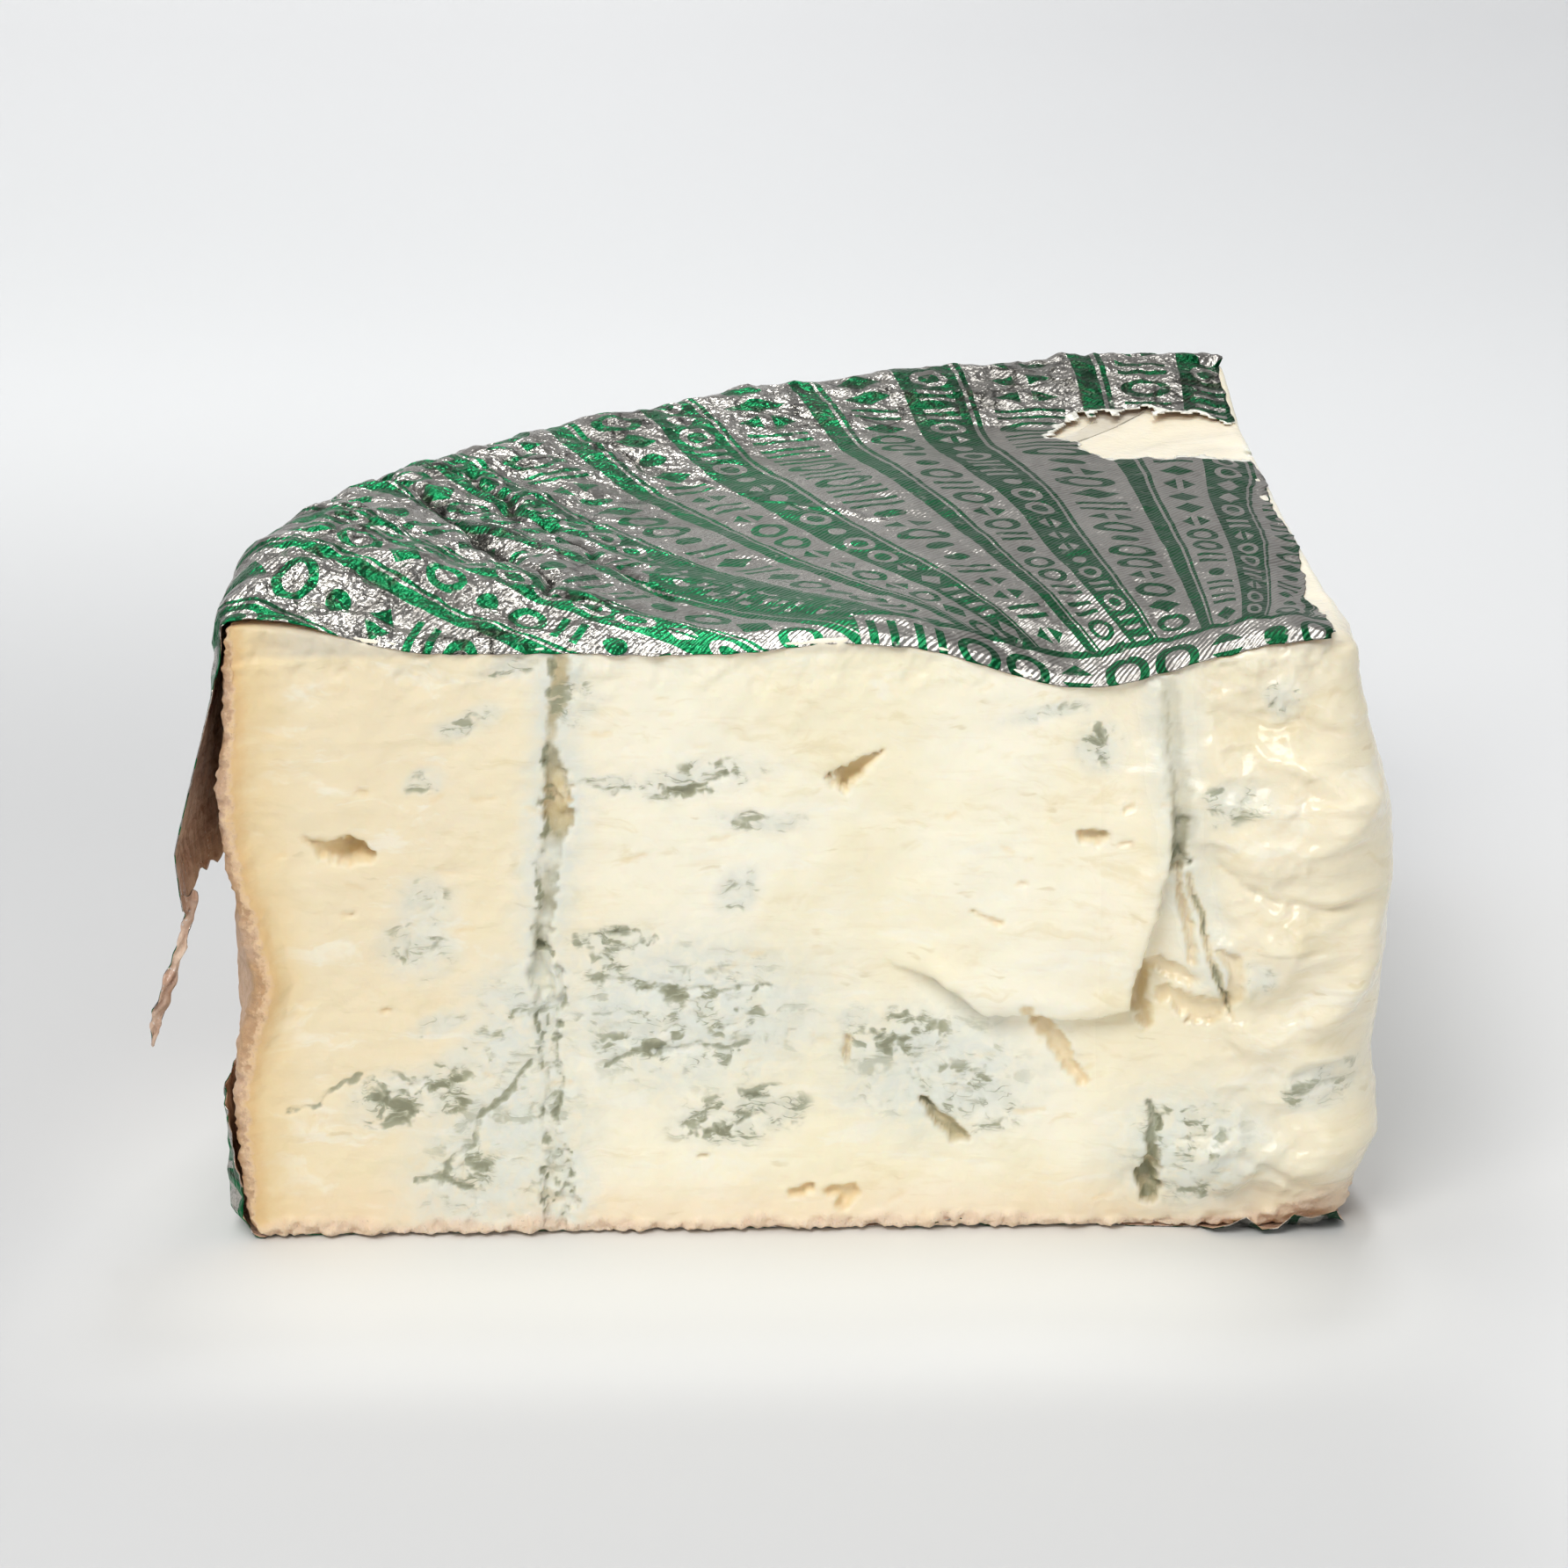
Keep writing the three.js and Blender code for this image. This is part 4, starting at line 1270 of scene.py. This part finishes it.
smudge_places = stretched(tree, curled, (0.4, 0.4, 1.1), (0.0, math.radians(10), 0.0))
smudges = step(tree, texture_noise(tree, smudge_places, 430.0, 4.0, 0.6, 0.5), 0.45, 0.6)
hairs = texture_noise(tree, smudge_places, 700.0, 2.0, 0.5)
hairs = step(tree, calc(tree, "ABSOLUTE", calc(tree, "SUBTRACT", hairs, 0.5)), 0.0, 0.05, 0.5, 0.0)
lines = either(tree, smudges, hairs)
clumps = step(tree, texture_noise(tree, curled, 360.0, 2.0, 0.5), 0.38, 0.6)
growth = times(tree, patch, times(tree, lines, clumps))
ragged = calc(tree, "MULTIPLY_ADD", torn, 0.8, -0.4)
patchy = calc(tree, "MULTIPLY_ADD", clumps, 0.75, 0.4)
line_vein = times(tree, vein, calc(tree, "ADD", patchy, ragged), clamp=True)
streak = either(tree, growth, line_vein)
tinge = times(tree, patch, clumps)
mould_green = mix(tree, broad, colour(0.34, 0.33, 0.18), colour(0.26, 0.29, 0.21))
shown = step(tree, streak, 0.05, 0.5)
strong = step(tree, streak, 0.42, 0.95)
veined = laid_over(tree, hollow, tinge, 0.36, colour(0.52, 0.54, 0.44))
veined = laid_over(tree, veined, shown, 0.75, mould_green)
veined = laid_over(tree, veined, strong, 0.6, colour(0.155, 0.15, 0.08))

print("with the mould:", len(tree.nodes), "nodes")

# %% The rind and the crust
rind_mask = step(tree, from_rind, 0.2, 1.2, 1.0, 0.0)
base_mask = either(tree, stored(tree, "crumb"), step(tree, from_base, 0.2, 1.0, 1.0, 0.0))
crust = either(tree, rind_mask, base_mask)
dusty = use_group(tree, blotches, Places=places, Scale=70.0, Low=0.36, High=0.62, Warp=0.6)["Mask"]
grainy = use_group(tree, blotches, Places=places, Scale=620.0, Low=0.4, High=0.66, Warp=0.3)["Mask"]
rind_colour = mix(tree, dusty, colour(0.52, 0.31, 0.17), colour(0.62, 0.43, 0.33))
rind_colour = laid_over(tree, rind_colour, grainy, 0.55, colour(0.40, 0.23, 0.14))
on_cut = step(tree, from_rind, 0.25, 0.7)
rind_colour = laid_over(tree, rind_colour, on_cut, 0.8, colour(0.86, 0.66, 0.50))
specks = step(tree, texture_noise(tree, places, 1700.0, 2.0, 0.7), 0.62, 0.72)
rind_colour = laid_over(tree, rind_colour, specks, 0.5, colour(0.22, 0.15, 0.11))
final = laid_over(tree, veined, crust, 0.8, rind_colour)
tree.links.new(final, shader.inputs["Base Color"])

print("with the rind:", len(tree.nodes), "nodes")

# %% How wet and how rough the cheese is
dry = either(tree, crust, times(tree, halo, 0.6))
wet = step(tree, wheel[0], -60.0, -15.0, 0.46, 0.17)
roughness = calc(tree, "ADD", wet, times(tree, dry, 0.3), clamp=True)
tree.links.new(roughness, shader.inputs["Roughness"])

surface = calc(tree, "MULTIPLY_ADD", drag, 0.2, times(tree, smears, 0.8))
surface = calc(tree, "MULTIPLY_ADD", fine, 0.3, surface)
surface = calc(tree, "MULTIPLY_ADD", shown, -0.9, surface)
rind_grain = times(tree, texture_noise(tree, places, 1500.0, 4.0, 0.7), 1.6)
rind_relief = calc(tree, "MULTIPLY_ADD", grainy, -0.7, rind_grain)
surface = calc(tree, "MULTIPLY_ADD", crust, rind_relief, surface)
bump = add(tree, "ShaderNodeBump", {"Strength": 0.5, "Distance": 0.0004, "Height": surface})
tree.links.new(bump.outputs[0], shader.inputs["Normal"])
set_sockets(
    shader, Subsurface_Weight=0.22, Subsurface_Radius=(1.0, 0.62, 0.3), Subsurface_Scale=0.004, IOR=1.44
)
cheese.data.materials.append(paste)
print("finish:", paste.name, len(tree.nodes), "nodes")

# %% [markdown]
# ## The foil's print
# Wheels like this carry a print of bands that fan out from the middle. No lettering is wanted
# here, so the bands hold plain rings, bars and diamonds instead. The print is worked out from the
# flat sheet's own coordinates, which the mesh stored before it was bent and crumpled, so the
# print bends with the foil.

# %% The print group
print_group, given, gives = new_group("Fan print", {"Sheet": (VECTOR, None)}, {"Ink": NUMBER})
BAND_ANGLE = math.radians(7.6)
MARK_LENGTH = 5.8
WANDER = 13.0
BORDER_WIDTH = 8.5
BORDER_START = -66.0


def mark(tree, side, within, pick):
    """One ring, diamond, pair of bars or dot in a cell that runs from -1 to 1 both ways."""
    out = length_of(tree, side, within)
    size = calc(tree, "ABSOLUTE", side)
    reach = calc(tree, "ABSOLUTE", within)
    ring = between(tree, out, 0.5, 0.88)
    diamond = calc(tree, "LESS_THAN", calc(tree, "ADD", size, reach), 0.8)
    bars = times(tree, between(tree, reach, 0.25, 0.62), calc(tree, "LESS_THAN", size, 0.85))
    dot = calc(tree, "LESS_THAN", out, 0.5)
    split = times(tree, diamond, calc(tree, "GREATER_THAN", size, 0.16))
    chosen = times(tree, ring, calc(tree, "LESS_THAN", pick, 0.36))
    for shape, low, high in ((diamond, 0.36, 0.5), (bars, 0.5, 0.7), (split, 0.7, 0.86), (dot, 0.86, 1.1)):
        chosen = either(tree, chosen, times(tree, shape, between(tree, pick, low, high)))
    return chosen


print("marks are rings, diamonds, bars and dots,", MARK_LENGTH, "mm long")

# %% Bands that fan out
wander = add(
    print_group, "ShaderNodeTexNoise", {"Vector": given["Sheet"], "Scale": 0.012, "Detail": 1.0}
).outputs["Color"]
wander = add(
    print_group, "ShaderNodeVectorMath", {0: wander, 1: (-0.5, -0.5, -0.5)}, operation="ADD"
).outputs[0]
moved = add(
    print_group, "ShaderNodeVectorMath",
    {0: wander, 1: (WANDER, WANDER, 0.0), 2: given["Sheet"]}, operation="MULTIPLY_ADD",
).outputs[0]
at = add(print_group, "ShaderNodeSeparateXYZ", {0: moved}).outputs
from_x = calc(print_group, "SUBTRACT", at[0], FAN_X)
from_y = calc(print_group, "SUBTRACT", at[1], FAN_Y)
bearing = calc(print_group, "DIVIDE", calc(print_group, "ARCTAN2", from_y, from_x), BAND_ANGLE)
distance_out = calc(print_group, "DIVIDE", length_of(print_group, from_x, from_y), MARK_LENGTH)
band = calc(print_group, "FLOOR", bearing)
across = calc(print_group, "FRACT", bearing)
band_kind = chance(print_group, band, 3.0, 0.0)
spaced = times(print_group, distance_out, calc(print_group, "MULTIPLY_ADD", band_kind, 0.35, 0.8))
cell = calc(print_group, "FLOOR", spaced)
within = calc(print_group, "MULTIPLY_ADD", calc(print_group, "FRACT", spaced), 2.0, -1.0)


def row_of_marks(middle, half, seed):
    side = calc(print_group, "DIVIDE", calc(print_group, "SUBTRACT", across, middle), half)
    side = either(print_group, calc(print_group, "MINIMUM", side, 1.5), -1.5)
    return mark(print_group, side, within, chance(print_group, band, cell, seed))


odd_band = calc(print_group, "FRACT", times(print_group, band, 0.5))
marked = calc(print_group, "GREATER_THAN", odd_band, 0.25)
wide = calc(print_group, "MULTIPLY_ADD", marked, 0.26, 0.18)
solid_band = between(print_group, across, 0.02, wide)
on_solid = times(print_group, row_of_marks(0.22, 0.15, 1.0), marked)
row_middle = calc(print_group, "MULTIPLY_ADD", marked, 0.13, 0.57)
row_half = calc(print_group, "MULTIPLY_ADD", marked, -0.1, 0.3)
on_metal = row_of_marks(row_middle, row_half, 5.0)
thin_line = between(print_group, across, 0.95, 0.99)
fan = either(print_group, times(print_group, solid_band, without(print_group, on_solid)), on_metal)
fan = either(print_group, fan, thin_line)

print("bands of", round(math.degrees(BAND_ANGLE), 1), "degrees")

# %% A broad band across the fan, and a border along the front edge near the tip
broad_band = between(print_group, bearing, 17.0, 17.95)
broad_band = times(print_group, broad_band, calc(print_group, "GREATER_THAN", at[0], -92.0))
broad_band = times(print_group, broad_band, without(print_group, row_of_marks(0.48, 0.3, 9.0)))
fan = either(print_group, fan, broad_band)
border = calc(print_group, "LESS_THAN", at[1], BORDER_WIDTH)
border = times(print_group, border, calc(print_group, "GREATER_THAN", at[0], BORDER_START))
border_step = calc(print_group, "DIVIDE", at[0], 6.6)
border_side = calc(print_group, "DIVIDE", calc(print_group, "SUBTRACT", at[1], 2.6), 3.0)
border_within = calc(print_group, "MULTIPLY_ADD", calc(print_group, "FRACT", border_step), 2.0, -1.0)
border_key = chance(print_group, calc(print_group, "FLOOR", border_step), 0.0, 12.0)
border_marks = either(
    print_group, mark(print_group, border_side, border_within, border_key),
    between(print_group, at[1], 6.9, BORDER_WIDTH),
)
fan = times(print_group, fan, without(print_group, border))
border_ink = times(print_group, border_marks, border)
print_group.links.new(either(print_group, fan, border_ink), gives["Ink"])
print("print group:", len(print_group.nodes), "nodes")

# %% [markdown]
# ## The foil finishes
# Bare foil is aluminium: fully metallic, a little rough, with crinkles that catch the light. The
# green ink is a clear lacquer over the metal, so it stays metallic and only changes the colour.
# The lining is brown paper soaked with whey, matt with shiny specks where metal shows through.

# %% Printed foil, base foil and lining
# The darker metal tone serves both the dull blotches and the painted shade towards the tip. The darker ink
# tone serves only that painted shade.
METAL = colour(0.49, 0.465, 0.425)
METAL_DULL_AND_PAINTED_SHADE = colour(0.24, 0.225, 0.205)
INK = colour(0.008, 0.155, 0.055)
INK_PAINTED_SHADE = colour(0.003, 0.06, 0.02)


def foil_finish(name, dull_and_shade_share, crease, emboss):
    material, tree, shader = new_finish(name)
    places = add(tree, "ShaderNodeTexCoord").outputs["Object"]
    dull_and_painted_shade = use_group(tree, blotches, Places=places, Scale=55.0, Low=0.4, High=0.66, Warp=0.9)["Mask"]
    sheet = stored(tree, "sheet", "Vector")
    sheet_x = add(tree, "ShaderNodeSeparateXYZ", {0: sheet}).outputs[0]
    # Painted shade: metal and ink are darkened towards the tip, in place of the darker surroundings that the
    # foil reflects there. Dull blotches also darken it at random.
    tip_side_painted_shade = step(tree, sheet_x, -78.0, -38.0)
    dull_and_painted_shade = either(tree, dull_and_painted_shade, tip_side_painted_shade)
    metal = mix(tree, times(tree, dull_and_painted_shade, dull_and_shade_share), METAL, METAL_DULL_AND_PAINTED_SHADE)
    # Painted shade in the creases: facet edges are darkened in blotches where the crumple is strong, and the
    # deep creases are darkened along their length.
    crease_map = add(
        tree, "ShaderNodeTexVoronoi", {"Vector": places, "Scale": 190.0}, feature="DISTANCE_TO_EDGE"
    ).outputs["Distance"]
    crease_painted_shade = step(tree, crease_map, 0.0, 0.12, 1.0, 0.0)
    crease_painted_shade = times(tree, crease_painted_shade, step(tree, stored(tree, "crease"), 0.35, 0.8))
    crease_some = use_group(tree, blotches, Places=places, Scale=90.0, Low=0.45, High=0.6, Warp=0.5)["Mask"]
    crease_painted_shade = times(tree, crease_painted_shade, crease_some)
    crease_painted_shade = either(tree, crease_painted_shade, step(tree, stored(tree, "crease"), 1.2, 1.7))
    ink = use_group(tree, print_group, Sheet=sheet)["Ink"]
    worn = use_group(tree, blotches, Places=places, Scale=420.0, Low=0.6, High=0.7, Warp=0.4)["Mask"]
    ink = times(tree, ink, calc(tree, "MULTIPLY_ADD", worn, -0.6, 1.0))
    uneven = calc(tree, "MULTIPLY_ADD", worn, 0.3, -0.1)
    peel = step(tree, calc(tree, "ADD", stored(tree, "peeled"), uneven), 0.35, 0.6)
    printed_metal = mix(tree, ink, metal, mix(tree, tip_side_painted_shade, INK, INK_PAINTED_SHADE))
    # The creases' painted shade goes on as a near-black colour.
    shadowed = times(tree, crease_painted_shade, 0.85)
    printed_metal = mix(tree, shadowed, printed_metal, colour(0.03, 0.028, 0.02))
    tree.links.new(mix(tree, peel, printed_metal, colour(0.74, 0.72, 0.64)), shader.inputs["Base Color"])
    tree.links.new(calc(tree, "MULTIPLY_ADD", peel, -0.9, 1.0), shader.inputs["Metallic"])
    creased = times(tree, stored(tree, "crease"), crease)
    height = use_group(tree, crinkle, Places=places, Crease=creased, Emboss=emboss)["Height"]
    bump = add(tree, "ShaderNodeBump", {"Strength": 0.8, "Distance": 0.0016, "Height": height})
    tree.links.new(bump.outputs[0], shader.inputs["Normal"])
    rough = calc(tree, "MULTIPLY_ADD", dull_and_painted_shade, 0.14, 0.2)
    tree.links.new(calc(tree, "MULTIPLY_ADD", ink, 0.08, rough), shader.inputs["Roughness"])
    return material


# %% The brown lining
def lining_finish():
    material, tree, shader = new_finish("stained_paper_lining")
    places = add(tree, "ShaderNodeTexCoord").outputs["Object"]
    damp = use_group(tree, blotches, Places=places, Scale=110.0, Low=0.35, High=0.65, Warp=0.8)["Mask"]
    brown = mix(tree, damp, colour(0.48, 0.29, 0.20), colour(0.72, 0.55, 0.42))
    bits = use_group(tree, blotches, Places=places, Scale=1100.0, Low=0.64, High=0.69, Warp=0.2)["Mask"]
    tree.links.new(mix(tree, bits, brown, colour(0.75, 0.70, 0.66)), shader.inputs["Base Color"])
    tree.links.new(times(tree, bits, 0.8), shader.inputs["Metallic"])
    height = use_group(tree, crinkle, Places=places, Crease=1.0, Emboss=0.1)["Height"]
    bump = add(tree, "ShaderNodeBump", {"Strength": 0.6, "Distance": 0.0012, "Height": height})
    tree.links.new(bump.outputs[0], shader.inputs["Normal"])
    tree.links.new(calc(tree, "MULTIPLY_ADD", damp, 0.2, 0.26), shader.inputs["Roughness"])
    return material


# %% Put the finishes on the foils
printed = foil_finish("green_printed_foil", 0.8, 1.0, 0.05)
plain_foil = foil_finish("base_foil_metal", 0.5, 1.2, 0.02)
lining = lining_finish()
for made, outside in ((top_foil, printed), (base_foil, plain_foil)):
    made.data.materials.append(outside)
    made.data.materials.append(lining)
print("foil finishes:", printed.name, plain_foil.name, lining.name)

# %% [markdown]
# ## Put each piece on its body
# The frame keeps its own solids for contact. Each soft solid is replaced by the piece that shows.

# %% Pieces and bodies
for made, node, slot in (
    (cheese, "cheese_wedge", "cheese_paste"),
    (top_foil, "top_foil", "printed_foil"),
    (base_foil, "base_foil", "base_foil"),
):
    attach(made, "root")
    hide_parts(node)
print("pieces placed:", [made.name for made in (cheese, top_foil, base_foil)])

# %% [markdown]
# ## Floor, light and camera
# A pale sweep serves as floor and background. The light is a big soft source above and behind,
# which gives the foil its rim of highlights, and a broad weak one in front for the cut.

# %% The pale sweep
def sweep():
    turn = np.linspace(0, 0.5 * math.pi, 16)[1:]
    depth = np.concatenate([np.linspace(-2.2, 0.9, 12), 0.9 + 0.5 * np.sin(turn), [1.4]])
    height = np.concatenate([np.zeros(12), 0.5 * (1 - np.cos(np.linspace(0, 0.5 * math.pi, 16)))[1:], [3.2]])
    width = np.linspace(-3, 3, 5)
    grid = np.array([[(x, y, z) for x in width] for y, z in zip(depth, height)])
    mesh = bpy.data.meshes.new("sweep")
    quads = grid_quads(len(depth), len(width))
    mesh.from_pydata(grid.reshape(-1, 3).tolist(), [], [tuple(quad) for quad in quads.tolist()])
    mesh.polygons.foreach_set("use_smooth", [True] * len(mesh.polygons))
    made = bpy.data.objects.new("sweep", mesh)
    bpy.context.collection.objects.link(made)
    material, tree, shader = new_finish("pale_sweep")
    places = add(tree, "ShaderNodeTexCoord").outputs["Object"]
    place = add(tree, "ShaderNodeSeparateXYZ", {0: places}).outputs
    back = place[1]
    # Painted light and shade by place: the floor at the right is lighter where the key lamp's shadow falls.
    # The wall is darker low down, where the lamps light it most, and darker to the right.
    painted_light_right = step(tree, place[0], 0.07, 0.13)
    paper = mix(tree, painted_light_right, colour(0.475, 0.475, 0.475), colour(0.60, 0.60, 0.60))
    painted_shade_right = step(tree, place[0], -0.05, 0.3)
    wall_painted_shade = mix(tree, step(tree, back, 0.5, 1.1), colour(0.69, 0.695, 0.695), colour(0.85, 0.85, 0.85))
    wall_painted_shade = laid_over(tree, wall_painted_shade, painted_shade_right, 0.35, colour(0.50, 0.50, 0.505))
    paper = mix(tree, step(tree, back, 0.1, 0.45), paper, wall_painted_shade)
    # Painted light: a lighter pool on the floor just in front of the wedge, against the shade under its
    # front.
    near = times(tree, step(tree, back, -0.14, -0.085), step(tree, back, -0.07, 0.02, 1.0, 0.0))
    beside = calc(tree, "ABSOLUTE", place[0])
    near = times(tree, near, step(tree, beside, 0.05, 0.11, 1.0, 0.0))
    tree.links.new(mix(tree, near, paper, colour(0.80, 0.80, 0.78)), shader.inputs["Base Color"])
    shader.inputs["Roughness"].default_value = 0.7
    mesh.materials.append(material)
    return made


sweep()


# %% Soft studio lights
def soft_light(name, place, aim, size, power, tone=(1, 1, 1)):
    light = bpy.data.lights.new(name, "AREA")
    light.shape = "RECTANGLE"
    light.size, light.size_y = size
    light.energy = power
    light.color = tone
    made = bpy.data.objects.new(name, light)
    bpy.context.collection.objects.link(made)
    made.location = place
    made.rotation_euler = (Vector(aim) - Vector(place)).to_track_quat("-Z", "Y").to_euler()


soft_light("overhead", (-0.1, 0.35, 1.3), (0, 0, 0.04), (1.1, 0.8), 8.4)
soft_light("key", (-0.5, -1.0, 1.15), (0, 0, 0.04), (0.8, 0.7), 15.4, (1, 0.985, 0.955))
soft_light("front_fill", (0.7, -1.6, 0.45), (0, 0, 0.05), (0.9, 0.9), 5)
soft_light("glint", (0.15, 0.45, 1.2), (0, 0, 0.08), (0.2, 0.2), 3.6, (0.96, 0.98, 1))
world = bpy.data.worlds.new("studio")
world.use_nodes = True
room = world.node_tree
toward = add(room, "ShaderNodeSeparateXYZ", {0: add(room, "ShaderNodeTexCoord").outputs["Generated"]}).outputs
sky = step(room, toward[2], 0.0, 0.7, 0.35, 1.0)
front_wall = step(room, toward[1], -0.75, 0.1, 0.15, 1.0)
room.links.new(
    mix(room, times(room, sky, front_wall), colour(0.02, 0.02, 0.022), colour(0.93, 0.96, 1.0)),
    room.nodes["Background"].inputs["Color"],
)
room.nodes["Background"].inputs["Strength"].default_value = 0.8
bpy.context.scene.world = world
bpy.context.scene.view_settings.view_transform = "Standard"

# %% The camera
camera_data = bpy.data.cameras.new("camera")
camera_data.lens = 120
camera_data.sensor_width = 36
camera = bpy.data.objects.new("camera", camera_data)
bpy.context.collection.objects.link(camera)
camera.location = in_metres([-100.9, -669.4, 281.2])
camera.rotation_euler = (math.radians(90 - 17.88), 0, math.radians(-2.15))
bpy.context.scene.camera = camera
print("camera at", [round(value, 3) for value in camera.location])
